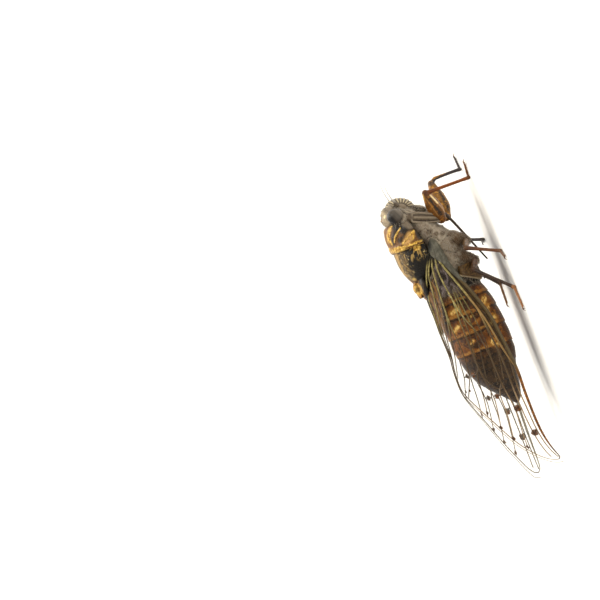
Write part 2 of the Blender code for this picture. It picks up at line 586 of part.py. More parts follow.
def make_opercula():
    """The two plates that cover the sound organs under the rear of the thorax."""
    back = smooth(OPERCULUM_BACK)
    inner = 1.1 * GAP
    for side, tag in ((-1, "R"), (1, "L")):
        rings = []
        for share in np.linspace(0, 1, 9):
            turn = OPERCULUM_ANGLES[0] + (OPERCULUM_ANGLES[1] - OPERCULUM_ANGLES[0]) * share
            c, s = abs(math.cos(turn)), abs(math.sin(turn))
            faces = ([], [])
            for x in np.linspace(OPERCULUM_FRONT, back(share), 4):
                body_x = max(float(x), BODY_JOIN)
                base, bottom = smooth(NOTUM_BASE)(body_x) - GAP, smooth(THORAX_BOTTOM)(body_x)
                centre, width = base - THORAX_MIDDLE * (base - bottom), smooth(THORAX_WIDTH)(body_x)
                for face, lift in zip(faces, (inner, inner + OPERCULUM_THICK)):
                    face.append((
                        float(x),
                        side * (width + lift) * c ** (2 / THORAX_POWER),
                        centre - (centre - bottom + lift) * s ** (2 / THORAX_POWER),
                    ))
            rings.append(faces[1] + faces[0][::-1])
        plate = loft("operculum_" + tag, rings, "operculum")
        leg = "hind_" + tag
        shares = FEMUR_RADII["hind"]
        hip, knee = leg_points(leg)[1:3]
        room = [
            grown(*coxa_bar(leg), GAP, (0.0, 2 * GAP)),
            grown(along(hip, knee, shares), [r for _, r in shares], GAP, (2 * GAP, 0.0)),
        ]
        boolean(plate, room, "DIFFERENCE")


def mitre(points, i):
    """The plane that halves the bend at joint i."""
    before = (Vector(points[i]) - Vector(points[i - 1])).normalized()
    after = (Vector(points[i + 1]) - Vector(points[i])).normalized()
    return (before + after).normalized()


def spines(start, stop, rows, ways, finish):
    """Straight tapered spines along a segment, each with its root sunk in its middle."""
    made = []
    for (share, length, radius), way in zip(rows, ways):
        root, way = start.lerp(stop, share), Vector(way).normalized()
        path = (root, root + way * length * 0.6, root + way * length)
        made.append(tube("spine", path, (radius, radius * 0.7, SPINE_TIP_RADIUS), finish, 5))
    return made


def make_claws(toe, ahead, finish):
    """The two curved claws at the end of a tarsus."""
    made = []
    root = toe - ahead * CLAW_RADII[0]
    for turn in (-CLAW_SPREAD, CLAW_SPREAD):
        c, s = math.cos(turn), math.sin(turn)
        way = Vector((ahead.x * c - ahead.y * s, ahead.x * s + ahead.y * c, 0)).normalized()
        bend = root + way * CLAW_LENGTH * 0.6 + Vector((0, 0, CLAW_RISE))
        tip = root + way * CLAW_LENGTH - Vector((0, 0, CLAW_DROP))
        made.append(tube("claw", (root, bend, tip), CLAW_RADII, finish, 5, floor=True))
    return made


def make_leg(leg):
    """Coxa with trochanter, femur, tibia and tarsus with claws, each cut on the mitre of its joints."""
    kind, tag = leg.split("_")
    finish = kind + "_leg"
    points = leg_points(leg)
    half = GAP / 2

    def plane(i, sign):
        normal = mitre(points, i)
        return (Vector(points[i]) + normal * half * sign, normal)

    def bar(part, i, shares, planes, floor=False):
        path = along(points[i], points[i + 1], shares)
        if part == "tibia" and leg in TIBIA_BOW:
            middle, out = TIBIA_BOW[leg]
            for k, (share, _) in enumerate(shares):
                rise = share / middle if share < middle else (1 - share) / (1 - middle)
                path[k] = tuple(Vector(path[k]) + out * rise ** 0.8)
        return tube(f"{kind}_{part}_{tag}", path, [r for _, r in shares], finish, 8, planes, floor)

    bar("coxa", 0, COXA_RADII[kind], (None, plane(1, -1)))
    femur = bar("femur", 1, FEMUR_RADII[kind], (plane(1, 1), plane(2, -1)))
    tibia = bar("tibia", 2, TIBIA_RADII, (plane(2, 1), plane(3, -1)), floor=True)
    tarsus = bar("tarsus", 3, TARSUS_RADII, (plane(3, 1), None), floor=True)
    hip, knee, ankle, toe = (Vector(p) for p in points[1:])
    if kind == "fore":
        ways = [FEMUR_SPINE_WAY] * len(FEMUR_SPINES)
        boolean(femur, spines(hip, knee, FEMUR_SPINES, ways, finish), "UNION")
    if kind == "hind":
        side = -1 if tag == "R" else 1
        ways = [(x, side * y, z) for x, y, z in TIBIA_SPINE_WAYS]
        boolean(tibia, spines(knee, ankle, TIBIA_SPINES, ways, finish), "UNION")
    boolean(tarsus, make_claws(toe, (toe - ankle).normalized(), finish), "UNION")


def wing_surface(u, v, depth, side):
    """Where a point of the flat wing lies once it is folded over the back, depth below the outer face."""
    a, b = smooth(WING_ARC_WIDTH)(u), smooth(WING_ARC_HEIGHT)(u)
    turn = WING_AXIS_ANGLE + v / (WING_ARC_MEAN * a)
    normal = Vector((0, math.cos(turn) / a, math.sin(turn) / b)).normalized()
    bend = max(0.0, u / WING_LENGTH) ** RIGHT_BEND_POWER if side < 0 else 0.0
    y = smooth(WING_AXIS_Y)(u) + a * (math.cos(turn) - math.cos(WING_AXIS_ANGLE)) - depth * normal.y
    z = smooth(WING_AXIS_Z)(u) + b * (math.sin(turn) - math.sin(WING_AXIS_ANGLE)) - depth * normal.z
    return (HINGE_X - u + RIGHT_TIP_PULL * bend, side * y, z - RIGHT_TIP_DROP * bend)


def distance_to(line, point):
    """The distance from a point to a polyline, both flat."""
    best = 1e9
    for a, b in zip(line[:-1], line[1:]):
        span = b - a
        t = min(max(float(np.dot(point - a, span) / max(np.dot(span, span), 1e-12)), 0.0), 1.0)
        best = min(best, float(np.linalg.norm(point - a - t * span)))
    return best


def inside(outline, point):
    """Whether a flat point is inside the closed outline."""
    hit = False
    for (x1, y1), (x2, y2) in zip(outline, outline[1:] + outline[:1]):
        if (y1 > point[1]) != (y2 > point[1]) and point[0] < (x2 - x1) * (point[1] - y1) / (y2 - y1) + x1:
            hit = not hit
    return hit


def wing_mesh(outline, veins, vein_height):
    """Flat triangles of a wing with each vein's middle and both edges among them, and the ridge heights."""
    cell = WING_CELL
    rim = [tuple(p) for p in curve_points(outline, 1.3, closed=True)]
    lines = {name: (half, curve_points(pts, 1.5)) for name, (half, pts) in veins.items()}
    verts, edges = [Vector(p) for p in rim], []

    def add_line(points):
        for i, p in enumerate(points):
            verts.append(Vector(p))
            if i:
                edges.append((len(verts) - 2, len(verts) - 1))

    for half, line in lines.values():
        ahead = [line[min(i + 1, len(line) - 1)] - line[max(i - 1, 0)] for i in range(len(line))]
        normal = [np.array((-d[1], d[0])) / np.linalg.norm(d) for d in ahead]
        add_line(line)
        for way in (-1, 1):
            edge = [p + way * half * n for p, n in zip(line, normal)]
            add_line([p for p in edge if inside(rim, p)])
    low, high = np.min(rim, axis=0), np.max(rim, axis=0)
    for gx in np.arange(low[0] + cell / 2, high[0], cell):
        for gy in np.arange(low[1] + cell / 2, high[1], cell):
            spot = np.array((gx, gy))
            far = all(distance_to(line, spot) > half + 0.35 for half, line in lines.values())
            if far and inside(rim, spot) and distance_to([np.array(p) for p in rim], spot) > 0.5:
                verts.append(Vector(spot))
    flat, _, triangles, _, _, _ = delaunay_2d_cdt(verts, edges, [list(range(len(rim)))], 1, 0.02)
    heights = []
    for p in flat:
        spot = np.array(p)
        heights.append(max(
            0.0, max(vein_height * (1 - distance_to(line, spot) / half) for half, line in lines.values())
        ))
    return [tuple(p) for p in flat], [tuple(t) for t in triangles], heights


def make_wing(name, finish, drawing, depth, thick, side):
    """A thin curved plate, its veins raised in its outer face, with triangles alike on both faces."""
    flat, triangles, heights = drawing
    n = len(flat)
    points = [wing_surface(u, v, depth - h, side) for (u, v), h in zip(flat, heights)]
    points += [wing_surface(u, v, depth + thick, side) for u, v in flat]
    faces = [t for t in triangles] + [(c + n, b + n, a + n) for a, b, c in triangles]
    count = {}
    for a, b, c in triangles:
        for edge in ((a, b), (b, c), (c, a)):
            count[frozenset(edge)] = count.get(frozenset(edge), 0) + 1
    for a, b, c in triangles:
        for p, q in ((a, b), (b, c), (c, a)):
            if count[frozenset((p, q))] == 1:
                faces += [(q, p, p + n), (q, p + n, q + n)]
    add_mesh(name, points, faces, finish)


def make_wings():
    fore = wing_mesh(FOREWING_OUTLINE, FOREWING_VEINS, FOREWING_VEIN_HEIGHT)
    hind = wing_mesh(HINDWING_OUTLINE, HINDWING_VEINS, HINDWING_VEIN_HEIGHT)
    below = FOREWING_THICK + HINDWING_VEIN_HEIGHT + GAP
    for side, tag in ((-1, "R"), (1, "L")):
        make_wing("forewing_" + tag, "forewing", fore, 0.0, FOREWING_THICK, side)
        make_wing("hindwing_" + tag, "hindwing", hind, below, HINDWING_THICK, side)


def main():
    for obj in list(bpy.data.objects):
        bpy.data.objects.remove(obj)
    make_head()
    make_face_parts()
    make_pronotum()
    make_mesonotum()
    make_thorax()
    make_abdomen()
    make_opercula()
    for leg in LEG_POINTS:
        make_leg(leg)
    make_wings()


main()
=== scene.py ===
"""A life-size manna cicada at rest on a pale floor, its right side to the camera.

The head points to +X, +Z is up, and the right side is at -Y. Sizes are in millimetres, and a mesh
is scaled to metres when it is made.
"""

import math

import bpy
import numpy as np
from mathutils import Matrix, Vector
from mathutils.geometry import delaunay_2d_cdt


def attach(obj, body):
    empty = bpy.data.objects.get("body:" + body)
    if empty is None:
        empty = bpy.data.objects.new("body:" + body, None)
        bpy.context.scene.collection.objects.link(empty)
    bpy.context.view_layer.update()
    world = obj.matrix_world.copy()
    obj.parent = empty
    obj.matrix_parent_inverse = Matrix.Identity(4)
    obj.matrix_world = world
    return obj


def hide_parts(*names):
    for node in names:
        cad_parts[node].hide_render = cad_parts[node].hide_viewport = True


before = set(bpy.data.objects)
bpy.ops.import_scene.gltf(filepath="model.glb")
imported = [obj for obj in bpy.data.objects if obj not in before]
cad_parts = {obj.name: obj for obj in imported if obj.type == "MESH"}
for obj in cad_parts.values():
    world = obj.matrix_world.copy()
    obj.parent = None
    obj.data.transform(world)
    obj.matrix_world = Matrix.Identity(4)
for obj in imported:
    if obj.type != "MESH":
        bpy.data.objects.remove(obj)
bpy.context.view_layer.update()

MM = 0.001
SIDES = ((-1, "R"), (1, "L"))

# The camera stands on the insect's right, a little above the floor, and rolled so that the head is up.
CAMERA_RISE = math.radians(4)
CAMERA_DISTANCE = 1500.0
VIEW_CENTRE = (10.16, 23.6)  # along the body, and up the view
IMAGE_RIGHT = (-0.358, -0.934)  # the image's right, in the same two directions
VIEW_SIZE, SENSOR = 70.59, 36.0  # the widths of the view and of the camera's sensor
CLIP = (0.1, 10.0)  # metres
FLOOR_RADIUS, FLOOR_SIDES = 3000.0, 96
SKY_STRENGTH = (0.33, 0.88)  # before the insect and behind it
SKY_COLOUR = (1.0, 0.985, 0.96, 1.0)
LAMP_AIM = (0.0, 0.0, 6.0)
# A soft key from above and behind, a small hard sun for the glints, and a weak panel in front. Each one's
# strength, colour and place, and how wide it is: a sun in degrees, a panel in millimetres.
LAMPS = (
    ("key", "SUN", 2.4, (1.0, 0.94, 0.84), (220, 200, 420), 40),
    ("spark", "SUN", 0.9, (1.0, 0.93, 0.8), (200, -160, 400), 6),
    ("fill", "AREA", 0.4, (1.0, 0.96, 0.9), (260, -300, 220), 100),
)

# How the surfaces shine, as the shader's own settings, and how sharply a mesh bends in creases and at rims.
SHELL = {"Roughness": 0.36, "Specular_IOR_Level": 0.2, "Coat_Weight": 0.12, "Coat_Roughness": 0.15}
HORN = {"Roughness": 0.36, "Specular_IOR_Level": 0.25, "Coat_Weight": 0.1, "Coat_Roughness": 0.2}
DULL = {"Roughness": 0.5, "Specular_IOR_Level": 0.3}
EYE_SHINE = {"Roughness": 0.3, "Specular_IOR_Level": 0.3, "Coat_Weight": 0.2, "Coat_Roughness": 0.12}
FILM = {"Roughness": 0.18, "Specular_IOR_Level": 0.2, "IOR": 1.4}
FLESH_RADIUS = (0.0012, 0.0005, 0.0002)  # metres
CREASE_BEND, RIDGE_BEND = (0.485, 0.45), (0.52, 0.58)
# Each melted skin's voxel and its passes of smoothing.
GRAIN = {
    "head": (0.055, 3), "thorax": (0.07, 3), "mesonotum": (0.06, 2), "coxa": (0.04, 1), "leg": (0.05, 2),
}
TUBE_END = ((0.95, 0.3), (0.8, 0.6), (0.45, 0.9))  # a round end: how far out, and how thick, as shares

# The head. A mesh is how many faces a ball has round its axis and along it.
SKULL_MESH, CROWN_MESH, CLYPEUS_MESH = (48, 32), (40, 28), (240, 60)
EYE_MESH, OCELLUS_MESH = (64, 48), (24, 16)
SKULL_CENTRE, SKULL_RADII = (15.2, 0.0, 9.75), (1.32, 3.5, 1.62)
CROWN_CENTRE, CROWN_RADII = (15.75, 0.0, 10.3), (0.95, 1.9, 0.95)
TEMPLE_CENTRE, TEMPLE_RADII = (14.8, 3.45, 9.65), (0.72, 0.6, 1.1)
FACE_TOP, FACE_TIP = (15.3, 0.0, 8.6), (14.2, 0.0, 5.85)
FACE_HALF_WIDTH, FACE_DEPTH = (2.0, 0.7), (1.15, 0.42)
FACE_FORWARD, FACE_TAPER = Vector((0.87, 0.0, -0.5)), 1.2
FACE_SIDES, FACE_STATIONS = 32, 24
CLYPEUS_CENTRE, CLYPEUS_RADII = (16.02, 0.0, 8.79), (1.24, 1.62, 1.75)
CLYPEUS_LEAN, CLYPEUS_RIDGES, CLYPEUS_RIDGE_RISE = math.radians(21.5), 11, 0.04
CLYPEUS_GROOVE_WIDTH, CLYPEUS_GROOVE_SHARE = 0.1, 0.8
EYE_CENTRE, EYE_RADII = (15.35, 3.72, 9.95), (0.9, 0.80, 0.98)
EYE_RISE = (0.41, 0.91)  # the way its tone darkens: backwards and up
EYE_RING = ((1.32, 0.1), (1.16, 0.08))  # the pale ring round it: the size and the softness of each border
BROW_CENTRE, BROW_RADII = (16.3, 1.95, 9.95), (0.62, 0.72, 0.28)
CHEEK_CENTRE, CHEEK_RADII, CHEEK_LEAN = (14.95, 2.3, 8.6), (0.8, 1.15, 1.3), 0.3
LORUM_CENTRE, LORUM_RADII, LORUM_LEAN = (15.25, 1.2, 6.95), (0.42, 0.5, 1.05), 0.45
OCELLUS_RADIUS = 0.2
OCELLI = ((15.95, 0.0, 11.08), (15.35, 0.52, 11.28), (15.35, -0.52, 11.28))
ANTENNA_PATH = (
    (16.45, 2.22, 9.12), (16.8, 2.3, 9.28), (17.35, 2.4, 9.5), (18.3, 2.55, 9.72), (19.4, 2.65, 9.8),
)
ANTENNA_RADII = (0.24, 0.2, 0.055, 0.035, 0.018)
ROSTRUM_PATH = (
    (14.25, 0.0, 6.0), (13.6, 0.0, 4.25), (12.7, 0.0, 3.66), (9.8, 0.0, 2.48), (6.85, 0.0, 1.3),
)
ROSTRUM_RADII = (0.34, 0.26, 0.17, 0.14, 0.09)
# Lines, here and below: a half width, and then (x, z) or (x, y, z) places.
HEAD_PALE_LINES = (
    (0.08, (16.35, 9.1), (15.8, 8.35), (15.0, 7.6)),
    (0.06, (15.5, 8.6), (14.9, 7.9)),
    (0.07, (15.9, 7.3), (15.3, 6.3)),
)
HEAD_DARK_LINES = (
    (0.1, (16.6, 8.9), (16.0, 7.9), (15.3, 7.05)),
    (0.09, (16.2, 9.35), (15.5, 8.8), (14.8, 8.5)),
    (0.1, (15.4, 7.1), (14.8, 6.1)),
)
# Spots, here and below: centre, radii, softness, strength and colour.
HEAD_SPOTS_HIGHLIGHT_AND_SHADOW = (
    # The first is a painted highlight on the crown.
    ((15.75, 1.75, 11.0), (0.22, 0.32, 0.22), 0.35, 1.0, (255, 234, 180)),
    ((15.35, 2.5, 10.75), (0.26, 0.5, 0.3), 0.35, 0.5, (62, 48, 34)),
    ((15.6, 0.0, 11.25), (0.75, 0.42, 0.5), 0.35, 1.0, (52, 38, 26)),
    # The last is a painted shadow behind the eye.
    ((14.4, 3.5, 10.4), (0.62, 1.2, 0.95), 0.35, 1.0, (20, 15, 11)),
)

# The plates over the thorax, as (x, value) knots along the body.
NOTUM_BASE = ((14.9, 9.35), (13.4, 8.75), (11.2, 8.35), (9.0, 8.2), (7.6, 8.6), (6.6, 9.1))
PRONOTUM_TOP = ((14.4, 11.4), (14.0, 11.6), (12.9, 11.78), (11.9, 11.7), (11.2, 11.58))
PRONOTUM_WIDTH = ((14.4, 3.85), (13.6, 4.2), (12.2, 4.55), (11.2, 4.75))
PRONOTUM_ENDS, MESONOTUM_ENDS = (14.45, 11.2), (11.45, 6.9)
MESONOTUM_TOP = ((11.0, 11.45), (9.9, 11.42), (8.8, 11.22), (7.8, 10.85), (6.9, 10.35))
MESONOTUM_WIDTH = ((11.0, 4.25), (10.0, 4.3), (9.0, 4.0), (8.0, 3.1), (7.3, 2.2), (6.9, 1.5))
# How far a plate reaches below its base line, and how much and how near its ends it turns in.
PLATE_OVERLAP, PLATE_TUCK, PLATE_TUCK_WIDTH = 0.35, 0.03, 0.12
PLATE_STATIONS, PLATE_SIDES, PLATE_POWER = 70, 110, 2.3
# Furrows of the pronotum: how far from the middle line, how that grows forwards, and their width.
PRONOTUM_FURROWS = ((0.2, 0.05, 0.07), (0.5, 0.12, 0.1), (0.92, 0.18, 0.1))
PRONOTUM_MIDDLE_X, PRONOTUM_RELIEF = 13.0, 0.022
PRONOTUM_FURROWED = ((11.9, 0.0), (12.3, 1.0), (13.9, 1.0), (14.3, 0.0))
PRONOTUM_COLLAR = ((11.2, 1.0), (11.85, 1.0), (12.1, 0.0), (14.4, 0.0))
MESONOTUM_FURROW, MESONOTUM_MIDDLE_X, MESONOTUM_RELIEF = (0.32, 0.07, 0.06), 8.0, 0.012
# The pronotum's gold stripes, the dark between them, its leaf, and painted shadows on its cheek and hind
# corner.
PRONOTUM_STRIPES = (
    (0.34, (14.3, 2.7, 10.85), (13.6, 2.1, 11.35), (12.9, 1.3, 11.65)),
    (0.32, (13.3, 1.9, 11.5), (12.5, 2.2, 11.5)),
    (0.12, (13.85, 3.85, 9.95), (13.0, 3.2, 10.85), (12.5, 3.0, 11.1)),
    (0.13, (12.95, 4.4, 8.6), (12.45, 4.2, 9.4), (12.0, 3.9, 10.3)),
    (0.13, (12.95, 4.4, 8.6), (12.1, 4.4, 8.9), (11.6, 4.35, 9.6)),
    (0.2, (14.4, 0.0, 11.4), (12.2, 0.0, 11.8)),
)
PRONOTUM_SHADES = (
    (0.42, (13.85, 3.6, 10.4), (12.6, 2.7, 11.3)),
    (0.3, (13.2, 4.3, 8.6), (12.6, 4.0, 9.9), (12.5, 3.6, 10.5)),
)
PRONOTUM_LEAF = (0.5, (12.6, 4.3, 9.1), (12.0, 4.1, 9.75))
PRONOTUM_CHEEK_SHADOW = (0.42, (14.6, 10.7), (13.8, 9.95), (12.9, 9.2))
PRONOTUM_CORNER_SHADOW = ((12.3, 4.4, 8.15), (0.8, 0.9, 0.4))
# The gold of the collar, from where it starts to where it ends: two bands, and the back between them.
COLLAR_BANDS = (((12.25, 12.1), (11.85, 11.97)), ((11.75, 11.62), (11.3, 11.45)))
COLLAR_SADDLE = ((12.2, 12.05), (11.3, 11.45))
MESONOTUM_CONES = (
    (0.34, (11.0, 0.55, 11.4), (9.4, 0.5, 11.4)), (0.45, (11.0, 2.4, 11.0), (8.6, 1.8, 10.9)),
)
MESONOTUM_CORNER = ((10.95, 4.2, 8.9), (0.3, 0.6, 0.45))
CROSS_CENTRE, CROSS_KNOB_RADII = (6.45, 0.0, 10.15), (0.8, 0.85, 0.62)
CROSS_FLOOR_CENTRE, CROSS_FLOOR_RADII = (6.55, 0.0, 9.45), (1.9, 2.5, 0.75)
# Its arms: reach and radii, heights of root and middle, and how far the ends drop and tilt.
CROSS_ARM, CROSS_ARM_RADII = 1.05, (0.36, 0.32, 0.22)
CROSS_ARM_RISES, CROSS_ARM_DROP, CROSS_ARM_TILT = (0.12, 0.1), 0.08, 0.12
CROSS_PATCH, CROSS_GILT = (CROSS_CENTRE, (1.7, 1.7, 0.95)), ((6.3, 0.8, 10.3), (0.66, 1.4, 0.62))
CROSS_SPOTS = (
    ((6.35, 1.0, 10.34), (0.36, 1.4, 0.3), 0.6, 0.8, (74, 50, 24)),
    ((6.6, 1.2, 9.6), (0.5, 1.4, 0.28), 0.5, 1.0, (58, 38, 18)),
    ((7.7, 1.4, 10.2), (0.26, 0.5, 0.35), 0.35, 1.0, (244, 202, 108)),
)

# The down of each coat: its count of hairs, their length, and the seed of its random draws.
DOWN_COATS = {"thorax_down": (9000, 0.42, 11), "head_down": (4500, 0.26, 12)}
DOWN_SILVER, DOWN_RADII = 0.4, (0.02, 0.014)
UPPER_FACE, UPPER_SHARE = 0.6, 0.15  # how far up a face looks to count as upper, and its share of roots
DOWN_STEP, DOWN_SUNK, DOWN_STRAY = 0.03, 0.02, 0.25  # how far roots stray and sink, and hairs turn aside
# The angle at which hairs rise, its share that is left at their ends, and how far lift and length vary.
DOWN_LIFT, DOWN_BEND, DOWN_LIFT_SHARES, DOWN_LENGTH_SHARES = 0.5, 0.4, (0.4, 1.2), (0.6, 1.2)
# A hair has three points round its root, three round its middle and one at its tip.
HAIR_FACES = ((0, 1, 4, 3), (1, 2, 5, 4), (2, 0, 3, 5), (3, 4, 6), (4, 5, 6), (5, 3, 6))
HAIR_PATCH = ((0, 0), (0.5, 0), (1, 0), (0, 0.5), (0.5, 0.5), (1, 0.5), (0.5, 1))
# On its map, the down lies by its place along the body and its turn about an axis at this height.
DOWN_REACH, DOWN_AXIS_Z, DOWN_PATCH = (-12.0, 18.0), 7.0, 0.003

THORAX_WIDTH = ((14.4, 2.9), (13.0, 3.75), (11.5, 4.1), (10.0, 4.2), (8.0, 4.1), (6.5, 3.7), (4.95, 3.55))
THORAX_BOTTOM = ((14.4, 6.7), (13.3, 6.0), (12.4, 5.1), (11.2, 4.3), (10.0, 3.8), (8.0, 3.35), (4.95, 3.1))
THORAX_ENDS, THORAX_POWER, THORAX_MIDDLE, THORAX_TUCK = (14.6, 4.6), 2.5, 0.42, 0.05
RING_SIDES, THORAX_STATIONS, ABDOMEN_STATIONS = 120, 130, 300
# Where each plate of the flank has its middle: (x, z).
FLANK_PLATES = (
    (13.6, 7.9), (13.0, 6.5), (12.0, 7.6), (11.6, 5.6), (10.6, 7.2), (9.9, 5.4), (9.2, 7.4), (8.6, 5.9),
    (8.2, 4.3), (7.6, 7.4), (6.9, 5.6), (6.2, 7.2), (5.6, 5.2),
)
FLANK_SWAY, FLANK_WAVES = 0.18, (1.7, 2.3)  # how far the seams wander, and how fast along x and z
# The plates' rise, the seams' depth and width, and the height and width of the rims beside the seams.
FLANK_PLATE_RISE, FLANK_SEAM_DEPTH, FLANK_SEAM_WIDTH = 0.03, 0.2, 0.13
FLANK_RIM_RISE, FLANK_RIM_WIDTH, FLANK_RIM_AWAY = 0.07, 0.16, 0.3
THORAX_LINES = (
    (0.12, (14.2, 8.5), (13.0, 8.2), (11.8, 7.7)),
    (0.1, (13.6, 6.9), (12.6, 6.4), (11.0, 5.9)),
    (0.1, (11.6, 4.8), (10.9, 5.6), (10.4, 6.6)),
)
# Brown spots and the brown hips: centre and radii.
THORAX_SPOTS = (
    ((12.2, 4.0, 6.9), (0.3, 3.0, 0.36)), ((11.7, 3.8, 6.2), (0.28, 3.0, 0.32)),
    ((11.5, 3.8, 5.45), (0.26, 3.0, 0.34)), ((11.1, 3.6, 4.35), (0.36, 3.0, 0.6)),
    ((10.2, 3.6, 4.7), (0.32, 3.0, 0.34)), ((9.15, 3.6, 4.45), (0.34, 3.0, 0.45)),
)
THORAX_HIPS = (((10.0, 3.0, 3.6), (1.0, 3.0, 1.15)), ((7.75, 3.0, 3.6), (1.25, 3.0, 1.2)))

ABDOMEN_TOP = (
    (4.7, 8.65), (3.0, 8.95), (0.5, 9.05), (-1.5, 9.0), (-3.3, 8.72), (-4.8, 8.35),
    (-6.2, 7.75), (-7.2, 7.05), (-8.8, 5.6), (-10.1, 4.35),
)
ABDOMEN_BOTTOM = (
    (4.7, 3.0), (2.9, 2.4), (1.1, 2.1), (-1.8, 1.87), (-3.5, 1.9), (-5.0, 2.2), (-6.5, 2.68),
    (-8.7, 3.05), (-9.6, 3.35), (-10.1, 3.7),
)
ABDOMEN_WIDTH = (
    (4.7, 3.6), (3.0, 3.75), (0.5, 3.8), (-1.8, 3.75), (-4.0, 3.45), (-6.0, 2.9), (-8.0, 1.95),
    (-9.5, 0.95), (-10.1, 0.42),
)
SEGMENT_ENDS = (5.4, 4.70, 3.35, 1.55, -0.75, -3.05, -5.25, -7.15, -8.75, -10.1)
SEGMENT_NAMES = tuple(f"abdomen_{n}" for n in range(1, 8)) + ("abdomen_tip",)
# A segment's size in front, its swelling over the first part of its length, and its raised hind rim.
SEGMENT_SCALE, SEGMENT_SWELL, SEGMENT_SWELL_REACH, SEGMENT_SWELL_POWER = 0.965, 0.03, 0.5, 0.7
SEGMENT_RIM_RISE, SEGMENT_RIM_WIDTH = 0.006, 0.1
FOLD_TURN, FOLD_DEPTH, FOLD_WIDTH = 0.95, 0.03, 0.07  # the fold on each side of the belly
TAIL_RINGS = ((0.8, 0.08), (0.5, 0.14))  # the rings that close the tail: size, and how far behind
HEM, SEAM_BAND = (0.26, 0.16), (-0.08, 0.11)  # bands by each rim: how far ahead of it, and half width
# The opercula: their front, thickness and gap to the thorax, and how far below the back plates they end.
OPERCULUM_FRONT, OPERCULUM_THICK, OPERCULUM_LIFT, OPERCULUM_TUCK = 7.2, 0.3, 0.3, 0.25
# Their rim's radius, how far in from their borders they thin out, and their raised hem.
OPERCULUM_RIM, OPERCULUM_FADE, OPERCULUM_HEM_RISE, OPERCULUM_HEM_WIDTH = 0.13, 0.12, 0.08, 0.08
# How near the hind end they thin out, what is left there, and the counts of their meshes.
OPERCULUM_THIN, OPERCULUM_STATIONS, OPERCULUM_TURNS, OPERCULUM_RIM_SIDES = (0.05, 0.3), 30, 40, 8
OPERCULUM_BACK = ((0.0, 6.1), (0.35, 5.4), (0.7, 4.95), (1.0, 5.2))
OPERCULUM_ANGLES = (math.radians(194), math.radians(264))

ABDOMEN_SHADOW = ((3.5, 3.6, 6.0), (1.0, 3.0, 1.0), 0.6)
# Painted glints on the abdomen's sides, where light shines through, from one (x, z) place to another, and
# their half width.
ABDOMEN_GLINTS = (
    ((2.6, 3.5), (2.1, 4.0), 0.34), ((1.5, 3.5), (1.0, 3.7), 0.2), ((0.1, 3.2), (-0.4, 3.8), 0.32),
    ((2.6, 6.9), (2.3, 7.7), 0.26), ((0.6, 7.6), (0.2, 8.2), 0.22), ((-2.4, 4.6), (-3.0, 4.2), 0.3),
    ((1.2, 5.9), (0.8, 6.2), 0.16), ((-1.6, 6.6), (-1.9, 7.0), 0.16),
)

# The forewing is drawn flat: u runs from the hinge to the tip, v from the front edge side (-) to the back.
HINGE_X, WING_LENGTH = 10.2, 29.6
WING_AXIS_ANGLE = math.radians(20.3)
WING_AXIS_Y = ((-1.0, 5.0), (4.0, 5.35), (8.0, 5.9), (13.0, 6.45), (17.0, 6.75), (23.0, 6.9), (30.0, 6.7))
WING_AXIS_Z = ((-1.0, 7.07), (0.0, 7.0), (10.0, 6.09), (20.0, 5.1), (30.0, 4.06))
WING_ARC_WIDTH = ((-1.0, 7.1), (9.0, 7.25), (16.0, 8.35), (30.0, 8.35))
WING_ARC_HEIGHT = (
    (-1.0, 5.4), (7.0, 5.4), (9.5, 5.7), (12.5, 6.1), (15.0, 6.8), (17.0, 7.05), (20.0, 6.8), (30.0, 6.75),
)
WING_ARC_MEAN = 0.91  # the arc's mean radius, as a share of its width
# How far the right wing's tip bends down and forwards, and how late the bend sets in.
RIGHT_TIP_DROP, RIGHT_TIP_PULL, RIGHT_BEND_POWER = 2.0, 1.0, 9
FOREWING_DEPTH, HINDWING_DEPTH = 0.1, 0.9
MARGIN_HALF = 0.04
# The film's mesh step, the bare strip inside its rim, how far it sags, and how far from a vein it does so.
MEMBRANE_STEP, MEMBRANE_RIM_GAP, MEMBRANE_SAG, MEMBRANE_SAG_REACH = 0.4, 0.16, 0.07, 0.7
SAG_STEP, INSIDE_ONLY, SAME_POINT = 0.6, 1, 0.001
VEIN_SIDES, VEIN_STEP, VEIN_FLATNESS = 8, 0.25, 0.8
SHEET = (32.0, 16.0, 4.0)  # the flat drawing's length and height on its map, and where v = 0 lies
FOREWING_OUTLINE = (
    (0.0, 0.1), (1.6, -0.55), (3.9, -1.25), (7.9, -2.45), (12.0, -2.85), (16.4, -2.55), (20.4, -1.95),
    (24.0, -1.4), (27.0, -0.95), (29.0, -0.6), (29.8, 0.1), (29.5, 0.9), (28.4, 1.55), (26.8, 2.3),
    (25.2, 3.1), (23.4, 3.9), (21.4, 4.9), (19.5, 6.3), (18.0, 7.45), (16.6, 8.0), (14.6, 7.75),
    (12.0, 7.15), (9.0, 6.8), (6.5, 6.1), (5.0, 5.0), (4.0, 3.7), (3.0, 2.3), (1.8, 1.2), (0.4, 0.8),
)
